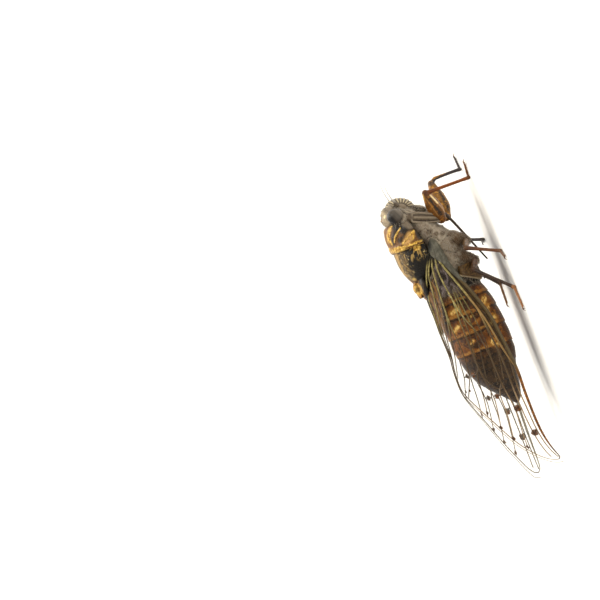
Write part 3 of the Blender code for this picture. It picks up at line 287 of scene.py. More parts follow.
# Each vein: its half width at the root and at the end, then its points in (u, v).
FOREWING_VEINS = {
    "costa": (0.28, 0.17, (
        (-0.2, 0.1), (1.2, -0.25), (2.6, -0.65), (4.5, -1.3), (8.2, -2.4), (12.0, -2.7), (16.3, -2.4),
        (20.4, -1.85), (24.4, -1.2),
    )),
    "costa_end": (0.17, 0.05, ((24.4, -1.2), (26.2, -0.95), (27.8, -0.7), (28.8, -0.42), (29.15, 0.05))),
    "subcosta": (0.17, 0.12, (
        (0.9, 0.45), (2.6, 0.1), (4.5, -0.5), (7.2, -1.25), (9.5, -1.7), (12.0, -1.95), (14.6, -2.1),
        (16.3, -2.35),
    )),
    "radius": (0.13, 0.07, (
        (8.4, -1.5), (11.0, -1.45), (14.0, -1.4), (17.5, -0.95), (20.8, -0.55), (24.3, -0.15),
        (26.6, 0.15), (28.4, 0.42),
    )),
    "radius_1": (0.11, 0.07, (
        (15.2, -2.15), (18.5, -1.45), (21.5, -1.15), (24.4, -0.75), (27.4, -0.4), (28.8, -0.25),
    )),
    "media": (0.12, 0.06, (
        (0.7, 0.5), (1.7, 0.95), (3.0, 1.25), (5.6, 1.25), (8.5, 0.95), (11.2, 0.1), (14.5, 0.0),
        (17.5, 0.25), (21.0, 0.35), (23.7, 1.05), (26.3, 1.95),
    )),
    "media_2": (0.08, 0.06, ((17.5, 0.25), (18.8, 1.2), (21.5, 1.75), (24.6, 2.95))),
    "media_3": (0.09, 0.06, (
        (6.4, 1.2), (8.6, 1.6), (11.0, 1.85), (15.2, 2.25), (18.5, 2.2), (20.5, 2.75), (22.8, 3.8),
    )),
    "media_4": (0.08, 0.06, ((15.0, 2.25), (15.7, 2.9), (18.2, 3.6), (20.7, 4.8))),
    "cubitus": (0.12, 0.06, (
        (0.5, 0.7), (1.4, 1.45), (2.5, 1.95), (4.3, 2.45), (7.2, 3.2), (9.1, 3.45), (12.0, 3.6),
        (15.3, 4.2), (16.8, 5.3), (17.9, 6.6),
    )),
    "cubitus_2": (0.1, 0.06, ((7.3, 3.2), (9.1, 3.85), (10.7, 4.6), (12.5, 5.5), (15.3, 7.0))),
    "claval": (0.11, 0.06, (
        (0.3, 0.8), (1.5, 1.95), (2.9, 3.05), (4.8, 3.75), (6.2, 4.45), (8.0, 5.35), (10.0, 6.1),
        (12.9, 6.75),
    )),
    "anal": (0.11, 0.07, (
        (0.0, 0.9), (1.2, 2.1), (2.6, 3.3), (4.3, 4.6), (6.0, 5.75), (8.6, 6.5), (11.5, 6.85),
        (12.9, 6.95),
    )),
    "ambient": (0.085, 0.065, (
        (12.9, 6.9), (14.8, 7.35), (16.6, 7.6), (17.9, 6.9), (19.6, 5.75), (21.5, 4.45), (23.4, 3.5),
        (25.2, 2.68), (26.8, 1.9), (28.2, 1.2), (28.95, 0.6), (29.15, 0.05),
    )),
    "cross_r": (0.1, 0.1, ((24.2, -0.78), (24.7, -0.1))),
    "cross_rm": (0.1, 0.1, ((20.8, -0.55), (21.1, 0.38))),
    "cross_m": (0.08, 0.08, ((18.9, 1.25), (18.7, 2.2))),
    "cross_mcu": (0.08, 0.08, ((15.6, 2.8), (15.5, 4.3))),
}
FOREWING_VEINS["margin"] = (MARGIN_HALF, MARGIN_HALF, FOREWING_OUTLINE[10:24])
# The plate over the wing's root, in (u, v), and how far it stands over the film.
ROOT_PLATE = (
    (-1.25, -0.1), (-0.5, -0.62), (0.8, -0.82), (2.4, -1.0), (4.2, -1.5), (5.2, -1.75), (4.7, -1.2),
    (3.3, -0.5), (2.1, 0.0), (1.4, 0.55), (0.7, 1.05), (-0.2, 1.05), (-0.95, 0.5),
)
ROOT_PLATE_RISE, ROOT_PLATE_STEP = 0.25, 0.2
# Its rings, as a share of its outline and of its rise.
ROOT_PLATE_RINGS = ((1.0, -0.25), (1.0, 0.35), (0.9, 0.75), (0.6, 1.0), (0.25, 1.05))
ROOT_PLATE_DARK = ((10.9, 5.0, 7.8), (0.9, 2.0, 0.55))
# The dark spots: (u, v) and radius.
WING_SPOTS = (
    (15.5, 3.55, 0.42), (18.85, 1.75, 0.42), (21.05, 0.05, 0.52), (24.55, -0.25, 0.55), (17.1, 5.5, 0.26),
    (20.3, 4.6, 0.32), (22.5, 3.7, 0.32), (24.3, 2.85, 0.32), (26.0, 1.9, 0.28),
)
EDGE_VEINS = ("costa", "costa_end")
HINDWING_OUTLINE = (
    (3.2, 0.3), (4.5, -0.5), (7.0, -1.2), (10.0, -1.6), (13.0, -1.4), (16.0, -0.7), (18.0, 0.2),
    (18.6, 1.1), (18.0, 2.1), (16.3, 3.0), (14.0, 3.4), (11.0, 3.0), (8.5, 2.5), (6.0, 1.9), (4.2, 1.2),
)
HINDWING_VEINS = {
    "costa": (0.14, 0.07, (
        (3.4, 0.3), (5.0, -0.45), (8.0, -1.2), (11.0, -1.45), (14.0, -1.1), (17.4, 0.15),
    )),
    "radius": (0.1, 0.06, ((3.6, 0.5), (6.5, 0.1), (10.0, -0.2), (14.0, 0.2), (17.6, 1.3))),
    "media": (0.1, 0.06, ((4.0, 0.7), (7.5, 0.8), (11.0, 0.9), (16.4, 2.5))),
    "cubitus": (0.1, 0.06, ((4.4, 0.9), (8.0, 1.5), (11.0, 1.9), (14.0, 3.0))),
    "ambient": (0.06, 0.06, (
        (11.0, 2.8), (14.0, 3.15), (16.2, 2.8), (17.7, 2.0), (18.2, 1.1), (17.5, 0.3),
    )),
}

# Each leg seen on the right side, y outwards: coxa root, hip and knee, then ankle and toe as (x, y).
COXA_ROOTS = {"fore": (14.55, 3.25, 8.3), "mid": (10.7, 2.75, 4.6), "hind": (8.0, 2.6, 4.3)}
LEG_POINTS = {
    "fore_R": ((13.2, 2.1, 4.85), (16.6, 2.95, 5.6), (16.5, 3.5), (18.1, 4.7)),
    "fore_L": ((13.25, 2.05, 3.9), (17.4, 3.15, 4.05), (17.8, 3.9), (19.2, 4.95)),
    "mid_R": ((9.75, 2.35, 3.1), (8.9, 6.3, 3.7), (7.15, 8.5), (6.4, 10.4)),
    "mid_L": ((9.95, 2.35, 3.05), (10.2, 6.4, 3.4), (9.1, 8.6), (8.8, 10.6)),
    "hind_R": ((7.2, 2.3, 2.95), (6.25, 5.6, 3.75), (2.6, 8.25), (0.2, 9.3)),
    "hind_L": ((7.25, 2.3, 2.95), (6.7, 5.7, 3.35), (3.5, 8.35), (1.1, 9.5)),
}
ANKLE_Z, TOE_Z = 0.22, 0.2
TIBIA_BOW = {"fore_L": (0.18, Vector((0.38, 0.0, 0.05)))}
# Colours of each leg: its thigh in light and in shade, its shin and its foot.
LEG_TINTS = {
    "fore_R": ((132, 84, 24), (66, 36, 9), (156, 82, 26), (112, 68, 34)),
    "fore_L": ((160, 112, 40), (84, 50, 16), (66, 57, 60), (62, 53, 52)),
    "mid_R": ((112, 84, 52), (74, 52, 30), (120, 68, 30), (104, 70, 44)),
    "mid_L": ((96, 74, 50), (64, 46, 30), (84, 76, 78), (70, 60, 56)),
    "hind_R": ((96, 64, 36), (62, 40, 24), (72, 50, 34), (150, 98, 54)),
    "hind_L": ((96, 64, 36), (62, 40, 24), (80, 62, 48), (120, 84, 54)),
}
KNEE_TINTS = {
    "fore_R": (74, 36, 16), "fore_L": (62, 52, 50), "mid_R": (96, 66, 36), "mid_L": (84, 66, 50),
    "hind_R": (86, 58, 34), "hind_L": (86, 60, 38),
}
# Where a stripe on the thigh starts and ends: its share of the length, and how far above the middle line.
THIGH_STRIPES = dict.fromkeys(LEG_POINTS, ((0.12, -0.65), (0.85, -0.45)))
THIGH_STRIPES["fore_R"] = ((0.12, -0.2), (0.85, 0.0))
# The near front thigh's painted highlights, pale lines along its edges: both ends, half width, softness,
# strength and colour.
THIGH_HIGHLIGHTS = {"fore_R": (
    ((0.12, 0.2), (0.85, 0.3), 0.05, 0.9, 0.34, (190, 144, 76)),
    ((0.12, -0.8), (0.85, -0.36), 0.1, 0.8, 0.595, (206, 160, 108)),
    ((0.5, -0.56), (0.85, -0.36), 0.1, 0.7, 0.85, (250, 226, 170)),
    ((1.0, 0.42), (0.85, 0.6), 0.14, 0.6, 0.85, (204, 158, 66)),
)}
# Radii along each segment, as (share of its length, radius).
COXA_RADII = {
    "fore": ((-0.13, 0.42), (0.0, 0.6), (0.3, 0.74), (0.6, 0.68), (1.0, 0.45)),
    "mid": ((0.0, 0.85), (0.5, 0.8), (1.0, 0.6)),
    "hind": ((0.0, 0.9), (0.5, 0.85), (1.0, 0.6)),
}
FEMUR_RADII = {
    "fore": ((0.0, 0.64), (0.3, 0.92), (0.6, 0.84), (0.85, 0.58), (1.0, 0.42)),
    "fore_L": ((0.0, 0.66), (0.3, 1.04), (0.6, 0.9), (0.85, 0.6), (1.0, 0.44)),
    "mid": ((0.0, 0.36), (0.35, 0.42), (0.75, 0.34), (1.0, 0.3)),
    "hind": ((0.0, 0.38), (0.35, 0.44), (0.75, 0.34), (1.0, 0.3)),
}
TIBIA_RADII = ((0.0, 0.3), (0.1, 0.25), (0.5, 0.2), (0.8, 0.2), (1.0, 0.24))
TARSUS_RADII = (
    (0.0, 0.2), (0.12, 0.17), (0.3, 0.15), (0.34, 0.17), (0.62, 0.14), (0.66, 0.16), (0.9, 0.14),
    (1.0, 0.15),
)
HIP_RADIUS, KNEE_RADIUS, COXA_RIM_RADIUS = 0.5, 0.34, 0.1
LEG_STATIONS, LEG_SIDES, SPINE_SIDES, CLAW_SIDES, JOINT_MESH, BOW_POWER = 17, 16, 10, 8, (20, 14), 0.8
# Where a coxa's rim has its points, from the hip to the root.
COXA_RIM_SHARES = (0.97, 0.75, 0.5, 0.25, 0.04)
# How far its rim, and the groove inside it, stand outwards and across, as shares of the radius.
COXA_RIM_REACH, COXA_GROOVE_REACH = (0.76, 0.76), (0.93, 0.46)
# The pale line along its middle: the shares of its length, and how far out of its axis.
COXA_LINE_SHARES, COXA_LINE_LIFT = (0.15, 0.85), (0.06, 0.72, 0.06)
CLAW_LENGTH, CLAW_RADII, CLAW_SPREAD = 0.65, (0.1, 0.07, 0.02), math.radians(28)
CLAW_MIDDLE, CLAW_RISE, CLAW_DROP, CLAW_STEP = 0.55, 0.06, 0.14, 0.06
SPINE_MIDDLE, SPINE_TIP = 0.6, 0.03
# Spines of a thigh and of a shin: share of the length, their own length, and their radius.
FEMUR_SPINES = ((0.3, 1.0, 0.26), (0.56, 0.98, 0.2), (0.76, 0.8, 0.14))
TIBIA_SPINES = ((0.45, 0.7, 0.1), (0.65, 0.7, 0.1), (0.88, 0.75, 0.1))
FEMUR_SPINE_WAY = (0.35, 0.0, -1.0)
TIBIA_SPINE_WAYS = ((-0.9, 0.35, -0.2), (-0.2, 1.0, 0.35), (-0.9, -0.3, -0.3))


def smooth(knots):
    """A smooth function through (x, value) knots, level beyond both ends and with no overshoot."""
    knots = sorted(knots)
    xs = np.array([k[0] for k in knots], float)
    ys = np.array([k[1] for k in knots], float)
    rise = np.diff(ys) / np.diff(xs)
    slope = np.zeros(len(xs))
    slope[0], slope[-1] = rise[0], rise[-1]
    for i in range(1, len(xs) - 1):
        if rise[i - 1] * rise[i] > 0:
            slope[i] = 2 * rise[i - 1] * rise[i] / (rise[i - 1] + rise[i])

    def value(x):
        x = np.clip(x, xs[0], xs[-1])
        i = np.clip(np.searchsorted(xs, x) - 1, 0, len(xs) - 2)
        h = xs[i + 1] - xs[i]
        t = (x - xs[i]) / h
        return (
            ys[i] * (1 + 2 * t) * (1 - t) ** 2 + ys[i + 1] * t * t * (3 - 2 * t)
            + h * slope[i] * t * (1 - t) ** 2 + h * slope[i + 1] * t * t * (t - 1)
        )

    return value


def once_round(count, start=0.0):
    """Evenly spaced angles round a ring. start is where the first one lies, as a share of a step."""
    return 2 * np.pi * (np.arange(count) + start) / count


def bell(away, width):
    """1 where away is 0, and falling to nothing within about two widths."""
    return np.exp(-((away / width) ** 2))


def curve_points(points, step, closed=False):
    """Points about one step apart on a smooth curve through the given ones."""
    pts = [np.array(p, float) for p in points]
    n = len(pts)
    found = []
    for i in range(n if closed else n - 1):
        p1, p2 = pts[i], pts[(i + 1) % n]
        p0 = pts[i - 1] if closed or i > 0 else 2 * p1 - p2
        p3 = pts[(i + 2) % n] if closed or i + 2 < n else 2 * p2 - p1
        count = max(1, round(np.linalg.norm(p2 - p1) / step))
        t = (np.arange(count) / count)[:, None]
        found.append(0.5 * (
            2 * p1 + (p2 - p0) * t + (2 * p0 - 5 * p1 + 4 * p2 - p3) * t ** 2
            + (3 * p1 - p0 - 3 * p2 + p3) * t ** 3
        ))
    if not closed:
        found.append(pts[-1][None])
    return np.concatenate(found)


def loft(rings):
    """A closed body through rings of equal length, with a cap at each end."""
    rings = np.array(rings, float)
    n, m = rings.shape[:2]
    i, j = np.meshgrid(np.arange(n - 1), np.arange(m), indexing="ij")
    k = (j + 1) % m
    faces = np.stack([i * m + j, i * m + k, (i + 1) * m + k, (i + 1) * m + j], -1).reshape(-1, 4).tolist()
    faces.append(list(range(m - 1, -1, -1)))
    faces.append([(n - 1) * m + q for q in range(m)])
    return rings.reshape(-1, 3), faces


def tube(path, radii, sides=12, step=0.15):
    """A round bar with rounded ends, along a smooth path."""
    pts = curve_points(path, step)
    reach = np.concatenate([[0], np.cumsum(np.linalg.norm(np.diff(pts, axis=0), axis=1))])
    marks = [reach[int(np.argmin(np.linalg.norm(pts - np.array(p), axis=1)))] for p in path]
    size = np.interp(reach, marks, radii)
    ahead = np.gradient(pts, axis=0)
    ahead /= np.linalg.norm(ahead, axis=1, keepdims=True)
    rings = []
    turns = once_round(sides)
    order = [(0, -beyond, grow) for beyond, grow in TUBE_END]
    order += [(i, 0.0, 1.0) for i in range(len(pts))]
    order += [(len(pts) - 1, beyond, grow) for beyond, grow in TUBE_END[::-1]]
    across = np.cross(ahead[0], np.array((0.0, 0.0, 1.0)))
    if np.linalg.norm(across) < 0.1:
        across = np.cross(ahead[0], np.array((0.0, 1.0, 0.0)))
    for i, beyond, grow in order:
        across = across - across.dot(ahead[i]) * ahead[i]
        across /= np.linalg.norm(across)
        other = np.cross(ahead[i], across)
        spot = pts[i] + ahead[i] * beyond * size[i]
        ring = np.outer(np.cos(turns), across) + np.outer(np.sin(turns), other)
        rings.append(spot + size[i] * grow * ring)
    return loft(rings)


def ball(centre, radii, around=32, along=20, lean=0.0, relief=None):
    """An ellipsoid with its poles on Y, leaning about Y. relief raises it by its polar angle and turn."""
    polar = np.linspace(0, np.pi, along + 1)[1:-1, None]
    turn = once_round(around)[None, :]
    grow = 1 + (relief(polar, turn) if relief else 0)
    x = radii[0] * np.sin(polar) * np.cos(turn) * grow
    z = radii[2] * np.sin(polar) * np.sin(turn) * grow
    y = radii[1] * np.cos(polar) + 0 * turn
    rings = np.stack([
        centre[0] + x * math.cos(lean) + z * math.sin(lean),
        centre[1] + y,
        centre[2] - x * math.sin(lean) + z * math.cos(lean),
    ], -1)
    return loft(rings)


def oval(x, centre_z, width, top, bottom, power=2.2):
    """One closed ring across the body at x."""
    turn = once_round(RING_SIDES, 0.5)
    c, s = np.cos(turn), np.sin(turn)
    height = np.where(s > 0, top - centre_z, centre_z - bottom)
    y = width * np.sign(c) * np.abs(c) ** (2 / power)
    z = centre_z + height * np.sign(s) * np.abs(s) ** (2 / power)
    return np.stack([np.full(RING_SIDES, x), y, z], -1)


def shield(ends, width, top, relief):
    """A domed plate over the back, closed below, with its ends and edges turned in."""
    front, back = ends
    base, width, top = smooth(NOTUM_BASE), smooth(width), smooth(top)
    turn = np.linspace(0, np.pi, PLATE_SIDES + 1)
    c, s = np.cos(turn), np.sin(turn)
    rings = []
    for share in np.linspace(0, 1, PLATE_STATIONS):
        x = front + (back - front) * share
        grow = 1 + relief(x, turn)
        edge = min(share, 1 - share) * abs(front - back)
        inset = 1 - PLATE_TUCK * bell(edge, PLATE_TUCK_WIDTH)
        low = base(x) - PLATE_OVERLAP
        y = width(x) * np.sign(c) * np.abs(c) ** (2 / PLATE_POWER) * grow * inset
        z = low + (top(x) - low) * np.abs(s) ** (2 / PLATE_POWER) * grow * inset
        rings.append(np.stack([np.full(len(turn), x), y, z], -1))
    return loft(rings)


def joined(shapes):
    """Several shapes as one list of points and faces."""
    points, faces, count = [], [], 0
    for pts, fcs in shapes:
        points.append(np.array(pts, float))
        faces += [[i + count for i in face] for face in fcs]
        count += len(pts)
    return np.concatenate(points), faces


def add_object(name, shape):
    """An object from a shape, still in millimetres."""
    points, faces = shape
    mesh = bpy.data.meshes.new(name)
    mesh.from_pydata(points.tolist(), [], faces)
    mesh.update()
    obj = bpy.data.objects.new(name, mesh)
    bpy.context.scene.collection.objects.link(obj)
    return obj


def applied(obj, modifiers):
    """Adds modifiers, given as (kind, settings), and applies them."""
    for kind, settings in modifiers:
        made = obj.modifiers.new(kind, kind)
        for key, value in settings.items():
            setattr(made, key, value)
    bpy.context.view_layer.update()
    graph = bpy.context.evaluated_depsgraph_get()
    mesh = bpy.data.meshes.new_from_object(obj.evaluated_get(graph))
    obj.modifiers.clear()
    obj.data = mesh


def dress(obj, material, slot, *nodes):
    """Brings an object to metres, gives it its material, and makes it stand for its solids."""
    obj.data.transform(Matrix.Scale(MM, 4))
    obj.data.materials.clear()
    obj.data.materials.append(material)
    obj.data.shade_smooth()
    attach(obj, "root")
    if nodes:
        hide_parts(*nodes)
    return obj


def piece(name, shapes, material, slot, *nodes):
    dress(add_object(name, joined(shapes)), material, slot, *nodes)


def skin(name, grain, shapes, material, slot, *nodes):
    """Shapes melted into one skin. grain is its voxel and its passes of smoothing."""
    voxel, passes = grain
    obj = add_object(name, joined(shapes))
    applied(obj, (
        ("REMESH", {"mode": "VOXEL", "voxel_size": voxel}),
        ("SMOOTH", {"factor": 0.5, "iterations": passes}),
    ))
    return dress(obj, material, slot, *nodes)


def tint(red, green, blue):
    """A colour given as a screen shows it, 0 to 255, for a shader."""
    return tuple(((c / 255 + 0.055) / 1.055) ** 2.4 for c in (red, green, blue)) + (1.0,)


def toned(colour, share):
    """A plain colour made darker, or lighter where the share is over 1."""
    return tuple(c * share for c in colour)


class Look:
    """One material built by short calls. Places are in millimetres, and y counts outwards on both sides.

    A colour is a socket, a plain (red, green, blue), or a pair of plain ones that the fine noise mixes.
    """

    def __init__(self, name, fine, **sockets):
        self.material = bpy.data.materials.new(name)
        self.material.use_nodes = True
        self.tree = self.material.node_tree
        self.shader = self.tree.nodes["Principled BSDF"]
        for socket, value in sockets.items():
            self.shader.inputs[socket.replace("_", " ")].default_value = value
        spot = self.node("ShaderNodeTexCoord", {}, "Object")
        self.place = self.node("ShaderNodeVectorMath", {0: spot, "Scale": 1 / MM}, operation="SCALE")
        self.x, self.side, self.z = self.node("ShaderNodeSeparateXYZ", {0: self.place}).node.outputs
        self.y = self.math("ABSOLUTE", self.side)
        self.folded = self.node("ShaderNodeCombineXYZ", {0: self.x, 1: self.y, 2: self.z})
        self.flank = self.node("ShaderNodeCombineXYZ", {0: self.x, 2: self.z})
        self.fine = self.noise(*fine)

    def node(self, kind, inputs, output=0, **settings):
        made = self.tree.nodes.new(kind)
        for key, value in settings.items():
            setattr(made, key, value)
        for key, value in inputs.items():
            if isinstance(value, bpy.types.NodeSocket):
                self.tree.links.new(value, made.inputs[key])
            else:
                made.inputs[key].default_value = value
        return made.outputs[output]

    def math(self, operation, a, b=0.0):
        return self.node("ShaderNodeMath", {0: a, 1: b}, operation=operation)

    def plus(self, a, b):
        return self.math("ADD", a, b)

    def minus(self, a, b):
        return self.math("SUBTRACT", a, b)

    def times(self, product, *factors):
        for factor in factors:
            product = self.math("MULTIPLY", product, factor)
        return product

    def length(self, a, b):
        return self.math("SQRT", self.plus(self.times(a, a), self.times(b, b)))

    def vector(self, operation, a, b, output=0):
        return self.node("ShaderNodeVectorMath", {0: a, 1: b}, output, operation=operation)

    def step(self, value, low, high):
        """0 below low and 1 above high, or the other way round where low is the larger."""
        return self.node(
            "ShaderNodeMapRange", {"Value": value, "From Min": low, "From Max": high},
            interpolation_type="SMOOTHSTEP",
        )

    def band(self, value, rise, fall):
        """1 between two steps, each given by its ends."""
        return self.times(self.step(value, *rise), self.step(value, *fall))

    def noise(self, scale, detail=4.0, stretch=(1.0, 1.0, 1.0), distortion=0.0):
        spot = self.vector("MULTIPLY", self.place, stretch)
        inputs = {"Vector": spot, "Scale": scale, "Detail": detail, "Distortion": distortion}
        return self.node("ShaderNodeTexNoise", inputs)

    def patches(self, low, high, scale, *shape, **settings):
        """1 in the patches where a noise is above high."""
        return self.step(self.noise(scale, *shape, **settings), low, high)

    def sway(self, scale, detail):
        """Noise that swings both ways, by a quarter at most."""
        return self.times(self.minus(self.noise(scale, detail), 0.5), 0.5)

    def facets(self, scale):
        """The distance to the border of each small cell."""
        inputs = {"Vector": self.place, "Scale": scale}
        return self.node("ShaderNodeTexVoronoi", inputs, "Distance", feature="DISTANCE_TO_EDGE")

    def grooves(self):
        """1 along creases of the mesh, where the looks lay painted shade."""
        return self.step(self.node("ShaderNodeNewGeometry", {}, "Pointiness"), *CREASE_BEND)

    def ridges(self):
        """1 along raised edges of the mesh."""
        return self.step(self.node("ShaderNodeNewGeometry", {}, "Pointiness"), *RIDGE_BEND)

    def inner(self):
        """1 on faces that look at the body's middle plane."""
        facing = self.node("ShaderNodeNewGeometry", {}, "Normal")
        aside = self.node("ShaderNodeSeparateXYZ", {0: facing}).node.outputs[1]
        return self.step(self.times(aside, self.math("SIGN", self.side)), 0.1, -0.4)

    def blob(self, centre, radii, soft=0.35):
        """1 inside an ellipsoid on both sides of the body, fading out at its edge."""
        away = self.vector("SUBTRACT", self.folded, centre)
        scaled = self.vector("MULTIPLY", away, tuple(1 / r for r in radii))
        length = self.node("ShaderNodeVectorMath", {0: scaled}, "Value", operation="LENGTH")
        return self.step(length, 1 + soft, 1 - soft)

    def stripe(self, start, stop, half, soft=0.35):
        """1 near the straight line between two places, or two (x, z) places of the side view."""
        place = self.folded
        if len(start) == 2:
            place = self.flank
            start, stop = (start[0], 0.0, start[1]), (stop[0], 0.0, stop[1])
        a, b = Vector(start), Vector(stop)
        span = b - a
        away = self.vector("SUBTRACT", place, tuple(a))
        share = self.vector("DOT_PRODUCT", away, tuple(span / span.length_squared), "Value")
        share = self.node("ShaderNodeClamp", {"Value": share})
        spot = self.node("ShaderNodeVectorMath", {0: tuple(span), "Scale": share}, operation="SCALE")
        gap = self.vector("DISTANCE", away, spot, "Value")
        return self.step(gap, half * (1 + soft), half * (1 - soft))

    def line(self, half, *places):
        """1 near a line of straight stretches."""
        return self.either(*(self.stripe(a, b, half, 0.45) for a, b in zip(places[:-1], places[1:])))

    def lines(self, rows):
        return self.either(*(self.line(*row) for row in rows))

    def blobs(self, rows):
        return self.either(*(self.blob(*row) for row in rows))

    def either(self, *masks):
        """The largest of several masks."""
        found = masks[0]
        for mask in masks[1:]:
            found = self.math("MAXIMUM", found, mask)
        return found

    def colour(self, given):
        """A socket or a shader's colour, from any of the forms that a colour may have."""
        if isinstance(given, bpy.types.NodeSocket):
            return given
        if isinstance(given[0], tuple):
            return self.mix(self.fine, *given)
        return tint(*given)

    def mix(self, share, a, b):
        inputs = {0: share, 6: self.colour(a), 7: self.colour(b)}
        return self.node("ShaderNodeMix", inputs, 2, data_type="RGBA")

    def paint(self, base, *layers):
        """The base colour with each (mask, strength, colour) laid over it."""
        for mask, strength, colour in layers:
            share = mask if strength == 1.0 else self.times(mask, strength)
            base = self.mix(share, base, colour)
        return base

    def spots(self, rows):
        """Layers for spots that are given by their centre, radii, softness, strength and colour."""
        return [(self.blob(*place), strength, colour) for *place, strength, colour in rows]

    def finish(self, colour, height=None, depth=0.05, alpha=None):
        """Links the colour, and where given the relief, whose depth is in millimetres."""
        self.tree.links.new(self.colour(colour), self.shader.inputs["Base Color"])
        if height is not None:
            normal = self.node("ShaderNodeBump", {"Height": height, "Distance": depth * MM})
            self.tree.links.new(normal, self.shader.inputs["Normal"])
        if alpha is not None:
            self.tree.links.new(alpha, self.shader.inputs["Alpha"])
        return self.material


def floor_look():
    look = Look("floor", (0.004, 2.0), Roughness=0.8)
    return look.finish(((244, 243, 240), (250, 250, 249)))


def head_look():
    """Grey-brown cuticle with dark mottling, a pale crown and pale rims, a painted highlight on the crown,
    and painted shade behind the eye and in the creases.
    """
    look = Look("head_cuticle_skin", (9.0, 6.0), **DULL)
    outer, inner = (
        look.blob(EYE_CENTRE, [r * share for r in EYE_RADII], soft) for share, soft in EYE_RING
    )
    crown = look.mix(look.noise(3.0, 4.0), (212, 194, 160), (148, 124, 92))
    colour = look.paint(
        ((166, 152, 134), (114, 102, 87)),
        (look.patches(0.5, 0.62, 1.9, 6.0, distortion=0.5), 0.55, (66, 55, 43)),
        (look.step(look.z, 10.5, 11.0), 0.85, crown),
        (look.minus(outer, inner), 0.25, (176, 162, 138)),
        (look.lines(HEAD_PALE_LINES), 0.75, (184, 170, 146)),
        (look.lines(HEAD_DARK_LINES), 0.8, (52, 43, 34)),
        # Spots, with a painted highlight on the crown and a painted shadow behind the eye.
        *look.spots(HEAD_SPOTS_HIGHLIGHT_AND_SHADOW),
        # Painted shade in the creases.
        (look.grooves(), 0.8, (36, 29, 23)),
        (look.ridges(), 0.5, (182, 168, 144)),
    )
    return look.finish(colour, look.plus(look.fine, look.noise(30.0, 3.0)), 0.06)


def clypeus_place(look):
    """How far ahead of the swollen face's centre and above it a place lies, as shares of its radii."""
    dx = look.minus(look.x, CLYPEUS_CENTRE[0])
    dz = look.minus(look.z, CLYPEUS_CENTRE[2])
    c, s = math.cos(CLYPEUS_LEAN), math.sin(CLYPEUS_LEAN)
    ahead = look.times(look.minus(look.times(dx, c), look.times(dz, s)), 1 / CLYPEUS_RADII[0])
    above = look.times(look.plus(look.times(dx, s), look.times(dz, c)), 1 / CLYPEUS_RADII[2])
    return ahead, above


def clypeus_look():
    """Pale ridges with dark grooves across the swollen face, and a grey side below them."""
    look = Look("clypeus_skin", (12.0, 5.0), Roughness=0.45, Specular_IOR_Level=0.3)
    ahead, above = clypeus_place(look)
    wave = look.math("COSINE", look.times(look.math("ARCTAN2", above, ahead), CLYPEUS_RIDGES * 2.0))
    away = look.length(ahead, above)
    outer = look.step(away, 0.46, 0.54)
    rim = look.band(away, (0.36, 0.44), (0.58, 0.5))
    ridge = look.times(look.step(wave, -0.3, 0.5), look.step(look.y, 0.1, 0.3))
    colour = look.paint(
        ((158, 143, 121), (112, 99, 81)),
        (outer, 1.0, ((92, 80, 62), (66, 55, 43))),
        (look.times(ridge, outer), 0.72, (206, 190, 156)),
        (rim, 0.8, (56, 46, 36)),
    )
    return look.finish(colour, look.fine, 0.03)


def eye_look():
    """Slate-brown with fine facets, lighter below and black above."""
    look = Look("eye_skin", (1.5, 3.0), **EYE_SHINE)
    rise = look.minus(look.times(look.z, EYE_RISE[1]), look.times(look.x, EYE_RISE[0]))
    rise = look.minus(rise, EYE_CENTRE[2] * EYE_RISE[1] - EYE_CENTRE[0] * EYE_RISE[0])
    rings = look.step(look.math("SINE", look.times(rise, 15.0)), 0.0, 0.9)
    colour = look.paint(
        ((66, 59, 51), (88, 79, 68)),
        (look.step(rise, -0.2, -0.7), 1.0, (108, 98, 85)),
        (rings, 0.35, (54, 47, 41)),
        (look.step(rise, 0.1, 0.5), 1.0, (24, 20, 17)),
    )
    return look.finish(colour, look.step(look.facets(14.0), 0.0, 0.25), 0.008)


def ocellus_look():
    look = Look("ocellus_skin", (4.0,), Roughness=0.06, Coat_Weight=1.0)
    return look.finish(((196, 160, 112), (96, 62, 36)))


def antenna_look():
    look = Look("antenna_skin", (8.0,), Roughness=0.5)
    colour = look.paint(
        (92, 80, 64),
        (look.step(look.x, 16.7, 17.2), 1.0, (172, 166, 158)),
        (look.fine, 0.3, (84, 72, 58)),
    )
    return look.finish(colour)


def rostrum_look():
    look = Look("rostrum_skin", (10.0, 4.0, (0.3, 1.0, 1.0)), Roughness=0.4, Specular_IOR_Level=0.3)
    colour = look.paint(((86, 72, 62), (62, 50, 44)), (look.step(look.x, 8.6, 7.2), 1.0, (22, 16, 14)))
    return look.finish(colour, look.fine, 0.03)


def gilt(look):
    """Gold leaf broken by brown."""
    return look.mix(look.patches(0.4, 0.62, 3.6, 6.0, distortion=0.4), (250, 206, 98), (168, 112, 32))


def collar_mask(look):
    """1 on the pronotum's hind collar: two gold bands, which join over the back."""
    hind = look.plus(look.x, look.plus(look.times(look.y, 0.1), look.sway(3.0, 5.0)))
    bands = [look.band(hind, rise, fall) for rise, fall in COLLAR_BANDS]
    return look.either(*bands, look.times(look.band(hind, *COLLAR_SADDLE), look.step(look.z, 9.9, 10.6)))


